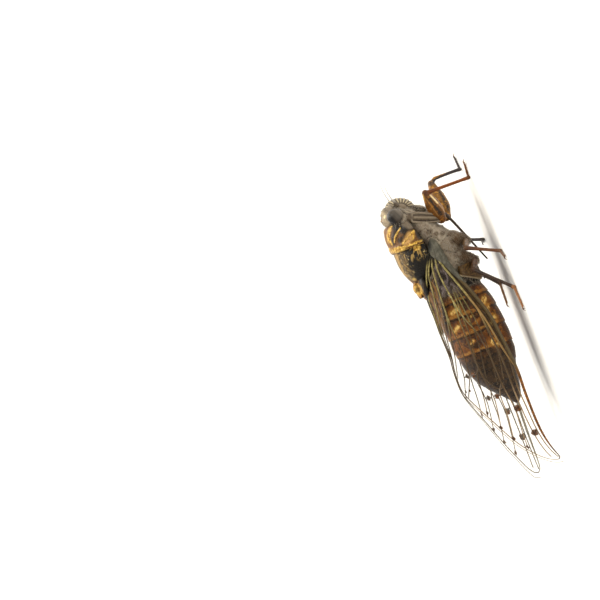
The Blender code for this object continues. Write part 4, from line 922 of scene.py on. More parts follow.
def pronotum_look():
    """Dark brown with slanting gold stripes, a gold-edged leaf on each side and a gold collar, with painted
    shade on the cheek behind the eye, at the hind corner and in the creases.
    """
    look = Look("pronotum_skin", (7.0, 6.0), **SHELL)
    stripes = look.either(look.lines(PRONOTUM_STRIPES), collar_mask(look))
    patchy = look.patches(0.3, 0.42, 2.8, 6.0, distortion=0.8)
    flap = look.times(look.step(look.x, 13.1, 13.5), look.step(look.z, 10.0, 9.6))
    # A painted shadow on the cheek, behind the eye.
    cheek = look.times(look.line(*PRONOTUM_CHEEK_SHADOW), look.step(look.y, 2.4, 3.0))
    colour = look.paint(
        ((140, 92, 34), (70, 45, 18)),
        (look.step(look.z, 11.0, 11.6), 0.6, (164, 112, 52)),
        (look.lines(PRONOTUM_SHADES), 0.85, (34, 23, 12)),
        (flap, 1.0, ((142, 128, 109), (92, 80, 65))),
        # Painted shadow on the cheek.
        (cheek, 0.95, (15, 11, 8)),
        (look.line(*PRONOTUM_LEAF), 1.0, ((226, 178, 106), (164, 118, 60))),
        # Painted shadow at the hind corner, between the leaf and the pleura.
        (look.blob(*PRONOTUM_CORNER_SHADOW), 1.0, (58, 49, 38)),
        (look.times(stripes, patchy), 1.0, gilt(look)),
        # Painted shade in the creases.
        (look.grooves(), 0.6, (24, 16, 9)),
        (look.ridges(), 0.3, (232, 190, 110)),
    )
    raised = look.plus(look.times(stripes, 0.8), look.times(look.noise(2.5, 5.0), 2.2))
    return look.finish(colour, look.plus(look.fine, raised), 0.16)


def mesonotum_look():
    """Golden on top, black on the flanks, with gilded specks that are partly painted golden reflections, an
    amber cross, and painted shade in the creases.
    """
    look = Look("mesonotum_skin", (6.0, 6.0), **SHELL)
    wide = look.noise(1.2, 5.0, distortion=0.8)
    low = look.plus(look.z, look.times(wide, 1.6))
    # Gold streaks drawn out along the body, partly painted golden reflections.
    flecks_and_glints = look.patches(0.53, 0.61, 2.2, 7.0, (0.5, 1.0, 1.0), 1.2)
    # Paler gold spots, partly painted highlights.
    drops_and_glints = look.patches(0.62, 0.68, 3.0, 4.0, (0.6, 1.0, 1.0), 0.8)
    shoulder = look.times(look.step(look.z, 7.6, 9.0), look.step(look.x, 9.2, 10.2))
    gilded = look.either(look.step(look.z, 9.8, 10.8), shoulder)
    cross = look.mix(look.patches(0.42, 0.58, 2.4, 5.0), (206, 146, 62), (70, 40, 16))
    colour = look.paint(
        ((230, 186, 96), (150, 106, 46)),
        (look.times(look.lines(MESONOTUM_CONES), look.step(wide, 0.36, 0.46)), 1.0, (44, 32, 20)),
        (look.step(low, 11.95, 11.6), 1.0, ((110, 86, 46), (48, 37, 21))),
        (look.step(low, 11.5, 10.9), 1.0, ((30, 25, 16), (12, 10, 7))),
        # Gold and paler spots where the plate is gilded, partly painted reflections.
        (look.times(flecks_and_glints, gilded), 0.85, (176, 142, 78)),
        (look.times(drops_and_glints, gilded), 0.9, (244, 214, 140)),
        (look.times(look.step(look.fine, 0.56, 0.66), look.step(low, 10.9, 11.6)), 0.5, (96, 68, 34)),
        (look.blob(*CROSS_PATCH), 1.0, cross),
        (look.blob(*CROSS_GILT), 1.0, gilt(look)),
        *look.spots(CROSS_SPOTS),
        (look.blob(*MESONOTUM_CORNER), 1.0, gilt(look)),
        # Painted shade in the creases.
        (look.grooves(), 0.7, (22, 16, 11)),
    )
    return look.finish(colour, look.plus(look.fine, look.noise(3.5, 5.0)), 0.14)


def thorax_look(name="thorax_skin", silver=0.0):
    """Grey-brown pleura with brown dots, and hips and spots that stay dark where the rest is silvery, with
    painted shade in the creases and at the back end, under the opercula.
    """
    look = Look(
        name, (9.0, 6.0), Roughness=0.55, Specular_IOR_Level=0.3, Sheen_Weight=0.12, Sheen_Roughness=0.4
    )
    down = look.noise(26.0, 3.0, (0.35, 1.0, 1.0))
    spots, hips = look.blobs(THORAX_SPOTS), look.blobs(THORAX_HIPS)
    bright = look.minus(silver, look.times(look.either(hips, spots), silver * 0.8))
    colour = look.paint(
        ((174, 156, 136), (118, 102, 84)),
        (look.patches(0.52, 0.66, 1.1, 4.0, distortion=0.6), 0.55, (200, 184, 162)),
        (look.patches(0.5, 0.7, 3.6, 6.0), 0.45, (88, 73, 55)),
        (look.patches(0.52, 0.64, 1.6, 5.0, distortion=0.3), 0.55, (82, 62, 43)),
        (look.lines(THORAX_LINES), 0.6, (196, 182, 158)),
        (spots, 0.85, ((96, 70, 44), (62, 43, 26))),
        (down, 0.2, (192, 180, 158)),
        (hips, 0.9, ((122, 90, 50), (70, 48, 26))),
        (look.step(look.z, 3.9, 3.2), 0.6, (66, 46, 28)),
        # Painted shade towards the back end, under the opercula and in the gap behind them.
        (look.step(look.x, 6.9, 6.3), 0.8, (40, 29, 19)),
        # Painted shade in the creases.
        (look.grooves(), 0.85, (34, 27, 20)),
        (look.ridges(), 0.6, (180, 166, 142)),
        (bright, 1.0, (214, 206, 190)),
    )
    return look.finish(colour, look.plus(down, look.fine), 0.1)


def coxa_look(leg):
    """A fore coxa: brown inside its pale raised rim, with a pale line along its middle, and painted shade
    in its creases.
    """
    look = Look("fore_coxa_" + leg[-1], (9.0, 6.0, (0.5, 1.0, 0.5)), **DULL)
    root, hip = leg_points(leg)[:2]
    rim, groove = (
        [(x, abs(y), z) for x, y, z in coxa_rim(root, hip, reach)]
        for reach in (COXA_RIM_REACH, COXA_GROOVE_REACH)
    )
    ends = (Vector(root).lerp(Vector(hip), share) for share in COXA_LINE_SHARES)
    middle = [Vector((p.x, abs(p.y), p.z)) + Vector(COXA_LINE_LIFT) for p in ends]
    colour = look.paint(
        ((118, 102, 82), (80, 66, 50)),
        (look.patches(0.52, 0.62, 2.5, 5.0), 0.6, (58, 46, 34)),
        (look.line(0.1, *middle), 0.6, (150, 136, 114)),
        (look.line(0.1, *groove), 0.8, (44, 35, 26)),
        # Painted shade in the creases.
        (look.grooves(), 0.9, (34, 27, 20)),
        (look.line(0.13, *rim), 0.85, ((166, 151, 129), (116, 103, 85))),
    )
    return look.finish(colour, look.fine, 0.08)


def rings_mask(look, along, ahead, half):
    """1 near each segment's hind end, or a little ahead of it."""
    gaps = (look.math("ABSOLUTE", look.minus(along, end + ahead)) for end in SEGMENT_ENDS[1:-1])
    return look.either(*(look.step(gap, half * 1.6, half * 0.5) for gap in gaps))


def glints_mask(look, grow, soft):
    return look.either(*(look.stripe(a, b, half * grow, soft) for a, b, half in ABDOMEN_GLINTS))


def abdomen_look():
    """Translucent amber with gold patches, painted glints and darker bands, nearly black behind, and
    painted shade at its front, behind the opercula.
    """
    look = Look("abdomen_skin", (7.0, 6.0), **SHELL, Subsurface_Weight=0.12, Subsurface_Radius=FLESH_RADIUS)
    dark = look.patches(0.49, 0.6, 1.6, 6.0, (0.8, 1.0, 1.2), 1.2)
    along = look.plus(look.x, look.sway(1.5, 3.0))
    broken = look.patches(0.34, 0.5, 1.8, 4.0, distortion=0.8)
    flakes = look.patches(0.4, 0.54, 3.2, 5.0, distortion=1.0)
    rear = look.step(look.plus(look.x, look.times(look.noise(1.0, 3.0), 1.5)), -1.9, -3.4)
    colour = look.paint(
        ((152, 88, 26), (82, 45, 13)),
        (look.patches(0.52, 0.64, 1.3, 5.0, (1.0, 1.0, 0.8), 1.0), 0.5, (214, 146, 56)),
        (look.patches(0.5, 0.6, 1.0, 5.0, (1.2, 1.0, 0.8), 0.7), 0.85, ((92, 62, 50), (48, 31, 29))),
        (look.blob(*ABDOMEN_SHADOW), 0.8, ((74, 50, 32), (36, 24, 18))),
        (dark, 0.85, ((70, 42, 16), (38, 22, 10))),
        (look.times(rings_mask(look, along, *HEM), broken), 0.65, ((226, 164, 78), (160, 104, 40))),
        (rings_mask(look, along, *SEAM_BAND), 0.8, (34, 21, 12)),
        (look.times(look.ridges(), broken), 0.7, (210, 156, 74)),
        # Painted shade at the front, in the gap behind the opercula.
        (look.step(look.x, 4.5, 4.85), 1.0, (16, 12, 9)),
        # Painted glints where light shines through the sides: an amber glow, then a pale core.
        (look.times(glints_mask(look, 1.5, 0.7), broken), 0.65, ((226, 156, 60), (166, 100, 32))),
        (look.times(glints_mask(look, 0.8, 0.6), broken, flakes), 1.0, (255, 214, 122)),
        (rear, 0.92, look.mix(dark, ((72, 54, 34), (40, 29, 18)), (20, 15, 11))),
        (look.step(look.z, 3.2, 2.5), 0.5, (84, 52, 24)),
    )
    return look.finish(colour, look.plus(look.fine, look.noise(20.0, 3.0)), 0.07)


def operculum_look(name, pale):
    look = Look(name, (6.0, 5.0), Roughness=0.45, Specular_IOR_Level=0.3, Coat_Weight=0.08)
    mottled = look.mix(look.step(look.fine, 0.35, 0.65), (116, 88, 48), (64, 46, 25))
    return look.finish(look.mix(pale, mottled, (170, 152, 122)), look.fine, 0.06)


def flat_place(look):
    """The wing drawing's own u and v."""
    sheet = look.node("ShaderNodeUVMap", {}, uv_map="drawing")
    u, v, _ = look.node("ShaderNodeSeparateXYZ", {0: sheet}).node.outputs
    return look.times(u, SHEET[0]), look.minus(look.times(v, SHEET[1]), SHEET[2])


def spots_mask(look, u, v, grow):
    """1 inside the ragged dark spots over the cross veins."""
    ragged = look.sway(3.0, 4.0)
    masks = []
    for su, sv, size in WING_SPOTS:
        away = look.length(look.minus(u, su), look.minus(v, sv))
        masks.append(look.step(look.plus(away, ragged), size * grow, size * grow * 0.6))
    return look.either(*masks)


def membrane_look():
    """Clear film, smoky over the cross veins, olive along the front edge, and dark brown at the root with
    purple-grey streaks that are partly painted highlights.
    """
    look = Look("membrane", (2.2, 5.0, (1.0, 1.0, 1.0), 0.4), **FILM)
    u, v = flat_place(look)
    crinkle = look.fine
    streaks = look.patches(0.42, 0.62, 1.8, 5.0, (0.35, 1.0, 1.0), 0.8)
    spots = spots_mask(look, u, v, 1.0)
    front = look.times(look.step(look.plus(v, look.times(u, 0.21)), 0.75, 0.5), look.step(u, 15.8, 14.5))
    root = look.step(look.plus(u, look.times(crinkle, 2.0)), 8.0, 5.5)
    fold = look.step(look.minus(v, look.times(u, 0.45)), 0.35, 0.9)
    fold = look.times(fold, look.band(u, (2.0, 3.0), (10.2, 9.5)))
    colour = look.paint(
        ((112, 96, 64), (70, 58, 38)),
        # Dark brown at the root, with purple-grey streaks that are partly painted highlights.
        (root, 1.0, look.mix(streaks, (38, 30, 25), (112, 100, 98))),
        (fold, 1.0, look.mix(streaks, (44, 31, 18), (120, 84, 42))),
        (front, 1.0, ((70, 54, 30), (36, 27, 16))),
        (spots, 1.0, ((120, 68, 18), (60, 34, 10))),
    )
    gloss = look.node("ShaderNodeLayerWeight", {"Blend": 0.2}, "Facing")
    alpha = look.plus(look.times(look.step(crinkle, 0.35, 0.65), 0.05), look.times(gloss, 0.05))
    for mask, amount in ((front, 0.88), (root, 0.75), (fold, 0.93), (spots, 0.96)):
        alpha = look.either(alpha, look.times(mask, amount))
    return look.finish(colour, crinkle, 0.12, alpha)


def vein_look():
    """Yellow-olive at the root, tan along the front, brown and then paler to the tip, and painted light, a
    grey, on the inner faces, which lie in shade.
    """
    look = Look("veins", (3.0, 4.0), **HORN)
    u, v = flat_place(look)
    colour = look.paint(
        look.mix(look.step(look.fine, 0.3, 0.7), (172, 158, 98), (112, 100, 56)),
        (look.step(u, 6.5, 12.0), 1.0, ((98, 76, 46), (62, 47, 30))),
        (look.step(look.plus(v, look.times(u, 0.12)), -0.1, -0.5), 1.0, ((178, 142, 86), (116, 86, 46))),
        (look.step(u, 17.5, 20.0), 0.75, ((184, 156, 118), (136, 108, 76))),
        (look.step(u, 1.7, 0.9), 1.0, (34, 31, 20)),
        (spots_mask(look, u, v, 1.2), 1.0, (70, 46, 24)),
        # Painted light: grey on the faces towards the body, which lie in shade.
        (look.inner(), 0.8, (116, 110, 98)),
    )
    return look.finish(colour, look.fine)


def edge_look():
    """The front edge: olive-brown by the body, golden brown behind it, darker at the tip, and painted
    light, a pale grey, on its inner faces, which lie in shade.
    """
    look = Look("wing_edge", (3.0, 5.0), **HORN)
    behind = look.plus(flat_place(look)[0], look.times(look.fine, 2.0))
    golden = look.mix(look.step(look.fine, 0.4, 0.6), (146, 92, 38), (76, 46, 20))
    colour = look.paint(
        ((106, 88, 54), (58, 46, 27)),
        (look.step(behind, 16.5, 19.0), 1.0, golden),
        (look.step(behind, 26.0, 29.0), 1.0, (80, 52, 32)),
        # Painted light: pale grey on the faces towards the body, which lie in shade.
        (look.inner(), 0.9, (150, 146, 132)),
    )
    return look.finish(colour, look.fine)


def root_plate_look():
    """Grey-olive with pale streaks and ridges, near black in front."""
    look = Look("wing_root", (5.0, 6.0), Roughness=0.5, Specular_IOR_Level=0.35)
    colour = look.paint(
        ((90, 87, 73), (54, 52, 41)),
        (look.patches(0.46, 0.6, 3.2, 5.0, (0.4, 1.0, 1.0), 0.4), 0.5, (114, 110, 93)),
        (look.patches(0.5, 0.62, 1.6, 5.0, distortion=0.6), 0.6, (60, 54, 40)),
        (look.blob(*ROOT_PLATE_DARK), 1.0, (26, 26, 16)),
        (look.ridges(), 0.4, (140, 134, 112)),
    )
    return look.finish(colour, look.fine, 0.12)


def thigh_layers(look, leg, hip, knee):
    """A ragged dark stripe along the thigh, and where the leg has them, painted highlights in pale lines
    beside it.
    """
    along = knee - hip
    across = Vector((-along.z, along.x)).normalized()

    def stripe(ends, half, soft):
        a, b = (hip.lerp(knee, share).xz + across * rise for share, rise in ends)
        return look.stripe(a, b, half, soft)

    ragged = look.patches(0.36, 0.5, 3.2, 5.0, distortion=0.8)
    dark = look.times(stripe(THIGH_STRIPES[leg], 0.2, 0.9), ragged)
    layers = [(dark, 1.0, toned(LEG_TINTS[leg][0], 0.22))]
    for start, stop, half, soft, strength, colour in THIGH_HIGHLIGHTS.get(leg, ()):
        layers.append((stripe((start, stop), half, soft), strength, colour))
    return layers


def leg_look(leg):
    """Cuticle streaked along the leg: a striped thigh, a dark knee, a plainer shin and foot, and painted
    highlights on the near front thigh.
    """
    thigh, shade, shin, foot = LEG_TINTS[leg]
    dusk = toned(shin, 0.55)
    look = Look(leg + "_skin", (8.0, 6.0), **{**HORN, "Roughness": 0.38})
    _, hip, knee, ankle, toe = (Vector((x, abs(y), z)) for x, y, z in leg_points(leg))
    dark, *lines = thigh_layers(look, leg, hip, knee)
    colour = look.paint(
        (thigh, shade),
        (look.patches(0.5, 0.64, 1.8, 5.0, distortion=0.5), 0.5, toned(thigh, 0.45)),
        (look.patches(0.5, 0.62, 2.4, 5.0, distortion=0.6), 0.6, toned(thigh, 1.35)),
        dark,
        # Painted highlights on the near front thigh; the last goes on after the knee.
        *lines[:-1],
        (look.blob(knee, (0.42, 0.6, 0.44), 0.4), 0.85, KNEE_TINTS[leg]),
        *lines[-1:],
        (look.stripe(knee.lerp(ankle, 0.12), ankle, 0.42, 0.15), 1.0, (shin, dusk)),
        (look.stripe(knee, knee.lerp(ankle, 0.2), 0.36, 0.4), 0.6, dusk),
        (look.stripe(ankle, toe, 0.36, 0.2), 1.0, foot),
        (look.step(look.fine, 0.5, 0.7), 0.35, toned(shade, 0.4)),
    )
    return look.finish(colour, look.fine, 0.06)


def plate_relief(points):
    """Raises each flank plate and sinks the seams between them."""
    wobble = FLANK_SWAY * np.sin(points[:, [2]] * FLANK_WAVES[1] + points[:, [0]] * FLANK_WAVES[0])
    away = np.linalg.norm(points[:, None, [0, 2]] + wobble[:, None] - np.array(FLANK_PLATES)[None], axis=2)
    away.sort(axis=1)
    seam = away[:, 1] - away[:, 0]
    rim = FLANK_RIM_RISE * bell(seam - FLANK_RIM_AWAY, FLANK_RIM_WIDTH)
    return FLANK_PLATE_RISE - FLANK_SEAM_DEPTH * bell(seam, FLANK_SEAM_WIDTH) + rim


def thorax_ring(x, top, bottom, width):
    """One ring of the thorax, raised and sunk by its plates."""
    centre = top - THORAX_MIDDLE * (top - bottom)
    ring = oval(x, centre, width, top, bottom, THORAX_POWER)
    out = ring - np.array((x, 0.0, centre))
    out /= np.linalg.norm(out, axis=1, keepdims=True)
    return ring + out * plate_relief(ring)[:, None]


def make_thorax(look):
    """The thorax with its middle and hind coxae, in one skin, and its down."""
    base, bottom, width = smooth(NOTUM_BASE), smooth(THORAX_BOTTOM), smooth(THORAX_WIDTH)
    stations = np.linspace(*THORAX_ENDS, THORAX_STATIONS)
    shapes = [loft([thorax_ring(x, base(x) - THORAX_TUCK, bottom(x), width(x)) for x in stations])]
    for leg in LEG_POINTS:
        kind = leg.split("_")[0]
        if kind != "fore":
            root, hip = leg_points(leg)[:2]
            shapes.append(segment(root, hip, COXA_RADII[kind]))
    nodes = ["thorax"] + [f"{kind}_coxa_{tag}" for kind in ("mid", "hind") for _, tag in SIDES]
    host = skin("thorax_skin", GRAIN["thorax"], shapes, look, "thorax", *nodes)
    make_down("thorax_down", host, "thorax")


def face_ring(share, turns):
    """One ring of the lower face, from its top to its tip."""
    centre = Vector(FACE_TOP).lerp(Vector(FACE_TIP), share)
    half = FACE_HALF_WIDTH[0] + (FACE_HALF_WIDTH[1] - FACE_HALF_WIDTH[0]) * share ** FACE_TAPER
    deep = FACE_DEPTH[0] + (FACE_DEPTH[1] - FACE_DEPTH[0]) * share
    ring = np.array(centre) + np.outer(np.sin(turns) * deep, FACE_FORWARD)
    ring[:, 1] += half * np.cos(turns)
    return ring


def make_head(look):
    """Skull, crown, lower face, brows, cheeks, lora and temples in one skin, and its down."""
    turns = once_round(FACE_SIDES)
    shapes = [ball(SKULL_CENTRE, SKULL_RADII, *SKULL_MESH), ball(CROWN_CENTRE, CROWN_RADII, *CROWN_MESH)]
    shapes.append(loft([face_ring(share, turns) for share in np.linspace(0, 1, FACE_STATIONS)]))
    for side, _ in SIDES:
        for (x, y, z), radii, lean in (
            (BROW_CENTRE, BROW_RADII, 0.0),
            (CHEEK_CENTRE, CHEEK_RADII, CHEEK_LEAN),
            (LORUM_CENTRE, LORUM_RADII, LORUM_LEAN),
            (TEMPLE_CENTRE, TEMPLE_RADII, 0.0),
        ):
            shapes.append(ball((x, side * y, z), radii, lean=lean))
    host = skin("head_skin", GRAIN["head"], shapes, look, "head_cuticle", "head")
    make_down("head_down", host, "head_cuticle")


def clypeus_relief(polar, turn):
    """Ridges across the front of the face, with a groove down its middle."""
    front = np.maximum(0.0, np.cos(turn)) * np.sin(polar) ** 2
    groove = bell(polar - np.pi / 2, CLYPEUS_GROOVE_WIDTH)
    ridges = np.cos(CLYPEUS_RIDGES * 2 * turn) * (1 - groove)
    return front * CLYPEUS_RIDGE_RISE * (ridges - CLYPEUS_GROOVE_SHARE * groove)


def make_face_parts():
    clypeus = ball(CLYPEUS_CENTRE, CLYPEUS_RADII, *CLYPEUS_MESH, CLYPEUS_LEAN, clypeus_relief)
    piece("postclypeus_skin", [clypeus], clypeus_look(), "face_cuticle", "postclypeus")
    eye, antenna = eye_look(), antenna_look()
    for side, tag in SIDES:
        x, y, z = EYE_CENTRE
        piece("eye_skin_" + tag, [ball((x, side * y, z), EYE_RADII, *EYE_MESH)], eye, "eye", "eye_" + tag)
        path = [(px, side * py, pz) for px, py, pz in ANTENNA_PATH]
        piece("antenna_skin_" + tag, [tube(path, ANTENNA_RADII)], antenna, "antenna", "antenna_" + tag)
    beads = [ball(spot, (OCELLUS_RADIUS,) * 3, *OCELLUS_MESH) for spot in OCELLI]
    piece("ocelli", beads, ocellus_look(), "eye")
    piece("rostrum_skin", [tube(ROSTRUM_PATH, ROSTRUM_RADII)], rostrum_look(), "rostrum", "rostrum")


def pronotum_relief(x, turn):
    """Slanting furrows on each side and a raised collar."""
    aside = np.abs(turn - np.pi / 2)
    grooves = sum(
        bell(aside - place - growth * (x - PRONOTUM_MIDDLE_X), width)
        for place, growth, width in PRONOTUM_FURROWS
    )
    return PRONOTUM_RELIEF * (smooth(PRONOTUM_COLLAR)(x) - grooves * smooth(PRONOTUM_FURROWED)(x))


def make_pronotum():
    shape = shield(PRONOTUM_ENDS, PRONOTUM_WIDTH, PRONOTUM_TOP, pronotum_relief)
    piece("pronotum_skin", [shape], pronotum_look(), "pronotum", "pronotum")


def mesonotum_relief(x, turn):
    """Two shallow furrows that run back and inwards."""
    place, growth, width = MESONOTUM_FURROW
    aside = np.abs(turn - np.pi / 2)
    return -MESONOTUM_RELIEF * bell(aside - place - growth * (x - MESONOTUM_MIDDLE_X), width)


def cross_arm(side, way):
    """One arm of the raised cross: side is left or right, and way is ahead or back."""
    cx, _, cz = CROSS_CENTRE
    end = (cx + way * CROSS_ARM, side * CROSS_ARM, cz - CROSS_ARM_DROP - CROSS_ARM_TILT * way)
    middle = ((cx + end[0]) / 2, end[1] / 2, cz + CROSS_ARM_RISES[1])
    return tube(((cx, 0.0, cz + CROSS_ARM_RISES[0]), middle, end), CROSS_ARM_RADII)


def make_mesonotum():
    shapes = [
        shield(MESONOTUM_ENDS, MESONOTUM_WIDTH, MESONOTUM_TOP, mesonotum_relief),
        ball(CROSS_CENTRE, CROSS_KNOB_RADII),
        ball(CROSS_FLOOR_CENTRE, CROSS_FLOOR_RADII),
    ]
    shapes += [cross_arm(side, way) for side in (-1, 1) for way in (-1, 1)]
    skin("mesonotum_skin", GRAIN["mesonotum"], shapes, mesonotum_look(), "mesonotum", "mesonotum")


def lay_map(obj, name, flat):
    """Gives an object a map, from one (u, v) for each vertex."""
    layer = obj.data.uv_layers.new(name=name)
    corner = np.empty(len(obj.data.loops), dtype=np.int32)
    obj.data.loops.foreach_get("vertex_index", corner)
    layer.data.foreach_set("uv", flat[corner].astype(np.float32).ravel())


def down_roots(host, count, draw):
    """Roots spread over a skin, fewer on its upper faces, with the way out of the skin at each."""
    faces = host.data.polygons
    places, ways, areas = np.empty(len(faces) * 3), np.empty(len(faces) * 3), np.empty(len(faces))
    faces.foreach_get("center", places)
    faces.foreach_get("normal", ways)
    faces.foreach_get("area", areas)
    places, ways = places.reshape(-1, 3) / MM, ways.reshape(-1, 3)
    areas *= np.where(ways[:, 2] > UPPER_FACE, UPPER_SHARE, 1.0)
    chosen = draw.choice(len(faces), count, p=areas / areas.sum())
    out = ways[chosen]
    return places[chosen] + draw.normal(0, DOWN_STEP, (count, 3)) - DOWN_SUNK * out, out


def down_hairs(root, out, length, draw):
    """Seven points for each hair: three round its root, three round its middle, and its tip."""
    count = len(root)
    back = np.array((-1.0, 0.0, 0.0)) + draw.normal(0, DOWN_STRAY, (count, 3))
    back -= (back * out).sum(axis=1)[:, None] * out
    back /= np.linalg.norm(back, axis=1)[:, None]
    rise = DOWN_LIFT * draw.uniform(*DOWN_LIFT_SHARES, count)[:, None]
    ahead, bent = (back * np.cos(turn) + out * np.sin(turn) for turn in (rise, rise * DOWN_BEND))
    half = length * draw.uniform(*DOWN_LENGTH_SHARES, count)[:, None] * 0.5
    aside = np.cross(ahead, out)
    other = np.cross(ahead, aside)
    turns = once_round(3)
    spread = np.cos(turns)[None, :, None] * aside[:, None] + np.sin(turns)[None, :, None] * other[:, None]
    low = root[:, None] + DOWN_RADII[0] * spread
    high = (root + ahead * half)[:, None] + DOWN_RADII[1] * spread
    tip = (root + ahead * half + bent * half)[:, None]
    return np.concatenate([low, high, tip], axis=1)


def make_down(name, host, slot):
    """Short hairs that lie back along a skin. Each has a small patch of the map, where its root lies."""
    count, length, seed = DOWN_COATS[name]
    draw = np.random.default_rng(seed)
    root, out = down_roots(host, count, draw)
    hairs = down_hairs(root, out, length, draw)
    rows = [[c + len(HAIR_PATCH) * n for c in face] for n in range(count) for face in HAIR_FACES]
    obj = add_object(name, (hairs.reshape(-1, 3), rows))
    around = np.arctan2(root[:, 2] - DOWN_AXIS_Z, root[:, 1]) / (2 * np.pi) + 0.5
    sheet = np.stack([(root[:, 0] - DOWN_REACH[0]) / (DOWN_REACH[1] - DOWN_REACH[0]), around], -1)
    patch = DOWN_PATCH * (np.array(HAIR_PATCH) - 0.5)
    lay_map(obj, "OFBake", (sheet[:, None] + patch[None]).reshape(-1, 2))
    dress(obj, thorax_look(name, DOWN_SILVER), slot)


def segment_scale(x):
    """How far the segments stand out at x: each rises to its hind rim and steps down to the next."""
    front, back = next(ends for ends in zip(SEGMENT_ENDS[:-1], SEGMENT_ENDS[1:]) if x >= ends[1])
    share = (front - x) / (front - back)
    swell = SEGMENT_SWELL * min(1.0, share / SEGMENT_SWELL_REACH) ** SEGMENT_SWELL_POWER
    return SEGMENT_SCALE + swell + SEGMENT_RIM_RISE * bell(1 - share, SEGMENT_RIM_WIDTH)


def make_abdomen():
    top, bottom, width = smooth(ABDOMEN_TOP), smooth(ABDOMEN_BOTTOM), smooth(ABDOMEN_WIDTH)
    fold = FOLD_DEPTH * bell(np.abs(once_round(RING_SIDES, 0.5) - 1.5 * np.pi) - FOLD_TURN, FOLD_WIDTH)
    rings = []
    for x in np.linspace(SEGMENT_ENDS[0], SEGMENT_ENDS[-1], ABDOMEN_STATIONS):
        scale = segment_scale(x)
        centre, half = (top(x) + bottom(x)) / 2, (top(x) - bottom(x)) / 2 * scale
        ring = oval(x, centre, width(x) * scale, centre + half, centre - half)
        middle = np.array((x, 0.0, centre))
        rings.append(middle + (ring - middle) * (1 - fold)[:, None])
    end = rings[-1]
    for shrink, back in TAIL_RINGS:
        middle = end.mean(axis=0)
        rings.append(middle + (end - middle) * shrink - np.array((back, 0, 0)))
    piece("abdomen_skin", [loft(rings)], abdomen_look(), "abdomen", *SEGMENT_NAMES)


def operculum_strip(turn, hind_x, edge, side, body):
    """Its inner and outer points from front to back, at one turn about the body."""
    base, bottom, width = body
    c, s = (abs(part) ** (2 / THORAX_POWER) for part in (math.cos(turn), math.sin(turn)))
    strips = ([], [])
    for share in np.linspace(0, 1, OPERCULUM_STATIONS):
        x = OPERCULUM_FRONT + (hind_x - OPERCULUM_FRONT) * share
        body_x = max(float(x), THORAX_WIDTH[-1][0])
        low, high = bottom(body_x), base(body_x) - OPERCULUM_TUCK
        centre = high - THORAX_MIDDLE * (high - low)
        thick = OPERCULUM_THICK * edge * min(1.0, (1 - share) / OPERCULUM_THIN[0] + OPERCULUM_THIN[1])
        thick += OPERCULUM_HEM_RISE * bell(1 - share, OPERCULUM_HEM_WIDTH)
        for strip, lift in zip(strips, (OPERCULUM_LIFT, OPERCULUM_LIFT + thick)):
            strip.append((x, side * (width(body_x) + lift) * c, centre - (centre - low + lift) * s))
    return strips


def make_opercula():
    body = [smooth(knots) for knots in (NOTUM_BASE, THORAX_BOTTOM, THORAX_WIDTH)]
    back = smooth(OPERCULUM_BACK)
    look, pale = operculum_look("operculum_skin", 0.0), operculum_look("operculum_rim", 0.85)
    for side, tag in SIDES:
        rings, rim_path = [], []
        for share in np.linspace(0, 1, OPERCULUM_TURNS):
            turn = OPERCULUM_ANGLES[0] + (OPERCULUM_ANGLES[1] - OPERCULUM_ANGLES[0]) * share
            edge = min(1.0, min(share, 1 - share) / OPERCULUM_FADE) ** 0.5
            inner, outer = operculum_strip(turn, back(share), edge, side, body)
            rings.append(outer + inner[::-1])
            rim_path.append(np.mean((inner[-1], outer[-1]), axis=0))
        piece("operculum_skin_" + tag, [loft(rings)], look, "operculum", "operculum_" + tag)
        rim = tube(rim_path, [OPERCULUM_RIM] * len(rim_path), OPERCULUM_RIM_SIDES)
        piece("operculum_rim_" + tag, [rim], pale, "operculum", "operculum_" + tag)


def leg_points(leg):
    """Coxa root, hip, knee, ankle and toe of a leg, on its own side."""
    side = -1 if leg.endswith("R") else 1
    hip, knee, ankle, toe = LEG_POINTS[leg]
    points = (COXA_ROOTS[leg.split("_")[0]], hip, knee, (*ankle, ANKLE_Z), (*toe, TOE_Z))
    return [(x, side * y, z) for x, y, z in points]


def segment(start, stop, shares, bow=None):
    """One leg segment, whose radius follows (share, radius) knots. bow is where and how far it bends."""
    a, b = np.array(start, float), np.array(stop, float)
    size = smooth(shares)
    path, radii = [], []
    for share in np.linspace(shares[0][0], shares[-1][0], LEG_STATIONS):
        spot = a + (b - a) * share
        if bow:
            middle, out = bow
            rise = share / middle if share < middle else (1 - share) / (1 - middle)
            spot = spot + np.array(out) * max(rise, 0.0) ** BOW_POWER
        path.append(spot)
        radii.append(float(size(share)))
    return tube(path, radii, LEG_SIDES)


def spine_shapes(start, stop, rows, ways):
    """Spines along a leg segment, each given by its share of the length, its own length and its radius."""
    shapes = []
    for (share, length, radius), way in zip(rows, ways):
        root = Vector(start).lerp(Vector(stop), share)
        way = Vector(way).normalized()
        path = (root, root + way * length * SPINE_MIDDLE, root + way * length)
        shapes.append(tube(path, (radius, radius * SPINE_MIDDLE, SPINE_TIP), SPINE_SIDES))
    return shapes


def claw_shapes(ankle, toe):
    """The two curved claws at the end of a tarsus."""
    toe = Vector(toe)
    ahead = (toe - Vector(ankle)).normalized()
    shapes = []
    for turn in (-CLAW_SPREAD, CLAW_SPREAD):
        c, s = math.cos(turn), math.sin(turn)
        way = Vector((ahead.x * c - ahead.y * s, ahead.x * s + ahead.y * c, 0)).normalized()
        middle = toe + way * CLAW_LENGTH * CLAW_MIDDLE + Vector((0, 0, CLAW_RISE))
        path = (toe, middle, toe + way * CLAW_LENGTH - Vector((0, 0, CLAW_DROP)))
        shapes.append(tube(path, CLAW_RADII, CLAW_SIDES, CLAW_STEP))
    return shapes


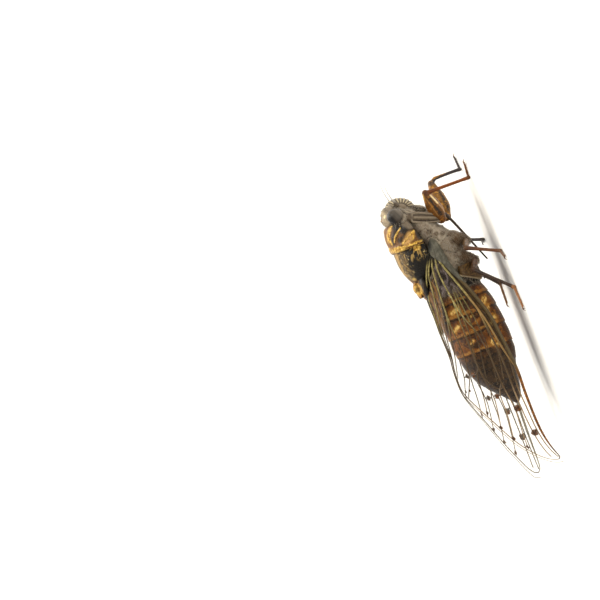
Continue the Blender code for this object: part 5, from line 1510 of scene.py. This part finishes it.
def coxa_rim(root, hip, reach):
    """The line of a fore coxa's rim: down one border of its outer face, round its root and back."""
    root, hip = Vector(root), Vector(hip)
    side = math.copysign(1.0, root.y)
    across = (hip - root).cross(Vector((0, side, 0))).normalized()
    size = smooth(COXA_RADII["fore"])
    path = []
    for way, shares in ((-1, COXA_RIM_SHARES), (1, COXA_RIM_SHARES[::-1])):
        for share in shares:
            out = Vector((0, side * reach[0], 0)) + across * way * reach[1]
            path.append(root.lerp(hip, share) + out * float(size(share)))
    return path


def make_fore_coxa(leg):
    """A fore coxa with its raised rim."""
    root, hip = leg_points(leg)[:2]
    rim = coxa_rim(root, hip, COXA_RIM_REACH)
    shapes = [segment(root, hip, COXA_RADII["fore"]), tube(rim, [COXA_RIM_RADIUS] * len(rim), SPINE_SIDES)]
    tag = leg[-1]
    skin("fore_coxa_skin_" + tag, GRAIN["coxa"], shapes, coxa_look(leg), "fore_leg", "fore_coxa_" + tag)


def make_leg(leg, look):
    """One skin over femur, tibia and tarsus with their spines, and the claws."""
    kind, tag = leg.split("_")
    _, hip, knee, ankle, toe = leg_points(leg)
    shapes = [
        ball(hip, (HIP_RADIUS,) * 3, *JOINT_MESH),
        segment(hip, knee, FEMUR_RADII.get(leg, FEMUR_RADII[kind])),
        ball(knee, (KNEE_RADIUS,) * 3, *JOINT_MESH),
        segment(knee, ankle, TIBIA_RADII, TIBIA_BOW.get(leg)),
        segment(ankle, toe, TARSUS_RADII),
    ]
    if kind == "fore":
        shapes += spine_shapes(hip, knee, FEMUR_SPINES, [FEMUR_SPINE_WAY] * len(FEMUR_SPINES))
        make_fore_coxa(leg)
    if kind == "hind":
        side = -1 if tag == "R" else 1
        ways = [(x, side * y, z) for x, y, z in TIBIA_SPINE_WAYS]
        shapes += spine_shapes(knee, ankle, TIBIA_SPINES, ways)
    nodes = [f"{kind}_{part}_{tag}" for part in ("femur", "tibia", "tarsus")]
    skin(leg + "_skin", GRAIN["leg"], shapes, look, kind + "_leg", *nodes)
    piece(leg + "_claws", claw_shapes(ankle, toe), look, kind + "_leg")


def make_legs():
    for leg in LEG_POINTS:
        make_leg(leg, leg_look(leg))


def wing_place(u, v, depth, side):
    """Where points of the flat wing lie once it is folded over the back, depth below the outer face."""
    a, b = smooth(WING_ARC_WIDTH)(u), smooth(WING_ARC_HEIGHT)(u)
    turn = WING_AXIS_ANGLE + v / (WING_ARC_MEAN * a)
    ny, nz = np.cos(turn) / a, np.sin(turn) / b
    length = np.hypot(ny, nz)
    bend = np.maximum(0.0, u / WING_LENGTH) ** RIGHT_BEND_POWER if side < 0 else 0.0 * u
    y = smooth(WING_AXIS_Y)(u) + a * (np.cos(turn) - math.cos(WING_AXIS_ANGLE)) - depth * ny / length
    z = smooth(WING_AXIS_Z)(u) + b * (np.sin(turn) - math.sin(WING_AXIS_ANGLE)) - depth * nz / length
    return np.stack([HINGE_X - u + RIGHT_TIP_PULL * bend, side * y, z - RIGHT_TIP_DROP * bend], -1)


def away_from(lines, points):
    """Each flat point's distance to the nearest of several polylines."""
    best = np.full(len(points), np.inf)
    for line in lines:
        for a, b in zip(line[:-1], line[1:]):
            span = b - a
            share = np.clip((points - a) @ span / (span @ span), 0, 1)
            best = np.minimum(best, np.linalg.norm(points - a - share[:, None] * span, axis=1))
    return best


def lay_drawing(obj, flat):
    """Lays the flat drawing on the object's map, so that its material knows u and v."""
    lay_map(obj, "drawing", np.stack([flat[:, 0] / SHEET[0], (flat[:, 1] + SHEET[2]) / SHEET[1]], -1))


def membrane_drawing(outline, veins):
    """Flat points and triangles of a membrane, and each point's distance from its veins."""
    rim = curve_points(outline, MEMBRANE_STEP, closed=True)
    rows = (np.arange(low, high, MEMBRANE_STEP) for low, high in zip(rim.min(axis=0), rim.max(axis=0)))
    inner = np.stack([grid.ravel() for grid in np.meshgrid(*rows)], -1)
    near = away_from([np.vstack([rim, rim[:1]])], inner)
    inner = inner[near > MEMBRANE_RIM_GAP]
    verts = [Vector(p) for p in np.vstack([rim, inner])]
    faces = [list(range(len(rim)))]
    flat, _, triangles, _, _, _ = delaunay_2d_cdt(verts, [], faces, INSIDE_ONLY, SAME_POINT)
    used, triangles = np.unique(np.array(triangles), return_inverse=True)
    flat = np.array([tuple(p) for p in flat])[used]
    lines = [curve_points(pts, SAG_STEP) for _, _, pts in veins.values()]
    return flat, triangles.reshape(-1, 3).tolist(), away_from(lines, flat)


def make_membrane(wing, tag, drawing, depth, side, look):
    """Film that sags a little between its veins."""
    flat, triangles, away = drawing
    sag = MEMBRANE_SAG * np.minimum(1.0, away / MEMBRANE_SAG_REACH)
    points = wing_place(flat[:, 0], flat[:, 1], depth + sag, side)
    obj = add_object(f"{wing}_film_{tag}", (points, triangles))
    lay_drawing(obj, flat)
    dress(obj, look, wing, f"{wing}_{tag}")


def make_veins(name, veins, depth, side, look, slot):
    """Tapering ribs that lie in the membrane."""
    shapes, flats = [], []
    turns = once_round(VEIN_SIDES)
    for start, end, points in veins.values():
        line = curve_points(points, VEIN_STEP)
        ahead = np.gradient(line, axis=0)
        ahead /= np.linalg.norm(ahead, axis=1, keepdims=True)
        normal = np.stack([-ahead[:, 1], ahead[:, 0]], -1)
        rings = []
        for i, (spot, out) in enumerate(zip(line, normal)):
            half = start + (end - start) * i / (len(line) - 1)
            row = spot + np.outer(np.cos(turns) * half, out)
            lift = np.sin(turns) * half * VEIN_FLATNESS
            rings.append(wing_place(row[:, 0], row[:, 1], depth - lift, side))
            flats.append(np.repeat(spot[None], VEIN_SIDES, axis=0))
        shapes.append(loft(rings))
    obj = add_object(name, joined(shapes))
    lay_drawing(obj, np.concatenate(flats))
    dress(obj, look, slot)


def make_root_plate(name, side, look):
    """The smooth plate that covers the root of the front veins."""
    rim = curve_points(ROOT_PLATE, ROOT_PLATE_STEP, closed=True)
    middle = rim.mean(axis=0)
    rings = []
    for share, rise in ROOT_PLATE_RINGS:
        row = middle + (rim - middle) * share
        rings.append(wing_place(row[:, 0], row[:, 1], FOREWING_DEPTH - ROOT_PLATE_RISE * rise, side))
    piece(name, [loft(rings)], look, "forewing")


def make_wings():
    film, rib, edge, plate = membrane_look(), vein_look(), edge_look(), root_plate_look()
    edges = {name: FOREWING_VEINS[name] for name in EDGE_VEINS}
    ribs = {name: vein for name, vein in FOREWING_VEINS.items() if name not in EDGE_VEINS}
    fore = membrane_drawing(FOREWING_OUTLINE, FOREWING_VEINS)
    hind = membrane_drawing(HINDWING_OUTLINE, HINDWING_VEINS)
    for side, tag in SIDES:
        make_membrane("forewing", tag, fore, FOREWING_DEPTH, side, film)
        make_veins("forewing_veins_" + tag, ribs, FOREWING_DEPTH, side, rib, "forewing")
        make_veins("forewing_edge_" + tag, edges, FOREWING_DEPTH, side, edge, "forewing")
        make_root_plate("forewing_root_" + tag, side, plate)
        make_membrane("hindwing", tag, hind, HINDWING_DEPTH, side, film)
        make_veins("hindwing_veins_" + tag, HINDWING_VEINS, HINDWING_DEPTH, side, rib, "hindwing")


def add_camera():
    up = Vector((0, math.sin(CAMERA_RISE), math.cos(CAMERA_RISE)))
    ahead = Vector((0, math.cos(CAMERA_RISE), -math.sin(CAMERA_RISE)))
    along = Vector((1, 0, 0))
    right = along * IMAGE_RIGHT[0] + up * IMAGE_RIGHT[1]
    top = -along * IMAGE_RIGHT[1] + up * IMAGE_RIGHT[0]
    centre = along * VIEW_CENTRE[0] + up * VIEW_CENTRE[1]
    data = bpy.data.cameras.new("camera")
    data.sensor_width = SENSOR
    data.lens = SENSOR * CAMERA_DISTANCE / VIEW_SIZE
    data.clip_start, data.clip_end = CLIP
    camera = bpy.data.objects.new("camera", data)
    turned = Matrix((right, top, -ahead)).transposed().to_4x4()
    camera.matrix_world = Matrix.Translation((centre - ahead * CAMERA_DISTANCE) * MM) @ turned
    bpy.context.scene.collection.objects.link(camera)
    bpy.context.scene.camera = camera


def add_floor():
    turns = once_round(FLOOR_SIDES)
    rim = np.stack([np.cos(turns), np.sin(turns), 0 * turns], -1) * FLOOR_RADIUS
    floor = add_object("floor", (rim, [list(range(FLOOR_SIDES))]))
    floor.data.transform(Matrix.Scale(MM, 4))
    floor.data.materials.append(floor_look())


def add_lamp(name, kind, energy, colour, place, spread):
    """A light that shines from a place at the insect. spread is a sun's angle or a panel's size."""
    data = bpy.data.lights.new(name, kind)
    data.energy, data.color = energy, colour
    if kind == "SUN":
        data.angle = math.radians(spread)
    else:
        data.size = spread * MM
    lamp = bpy.data.objects.new(name, data)
    lamp.location = Vector(place) * MM
    lamp.rotation_euler = (Vector(LAMP_AIM) - Vector(place)).to_track_quat("-Z", "Y").to_euler()
    bpy.context.scene.collection.objects.link(lamp)


def add_sky():
    """A sky brighter behind the insect than before it."""
    world = bpy.data.worlds.new("studio")
    bpy.context.scene.world = world
    world.use_nodes = True
    nodes, links = world.node_tree.nodes, world.node_tree.links
    sky = nodes["Background"]
    sky.inputs["Color"].default_value = SKY_COLOUR
    way = nodes.new("ShaderNodeSeparateXYZ")
    links.new(nodes.new("ShaderNodeTexCoord").outputs["Generated"], way.inputs[0])
    rise = nodes.new("ShaderNodeMapRange")
    rise.inputs["From Min"].default_value = -1.0
    rise.inputs["To Min"].default_value, rise.inputs["To Max"].default_value = SKY_STRENGTH
    links.new(way.outputs["Y"], rise.inputs["Value"])
    links.new(rise.outputs[0], sky.inputs["Strength"])


def add_lights():
    add_sky()
    for row in LAMPS:
        add_lamp(*row)
    bpy.context.scene.view_settings.view_transform = "Standard"


def main():
    add_camera()
    add_floor()
    add_lights()
    make_head(head_look())
    make_face_parts()
    make_pronotum()
    make_mesonotum()
    make_thorax(thorax_look())
    make_abdomen()
    make_opercula()
    make_legs()
    make_wings()


main()
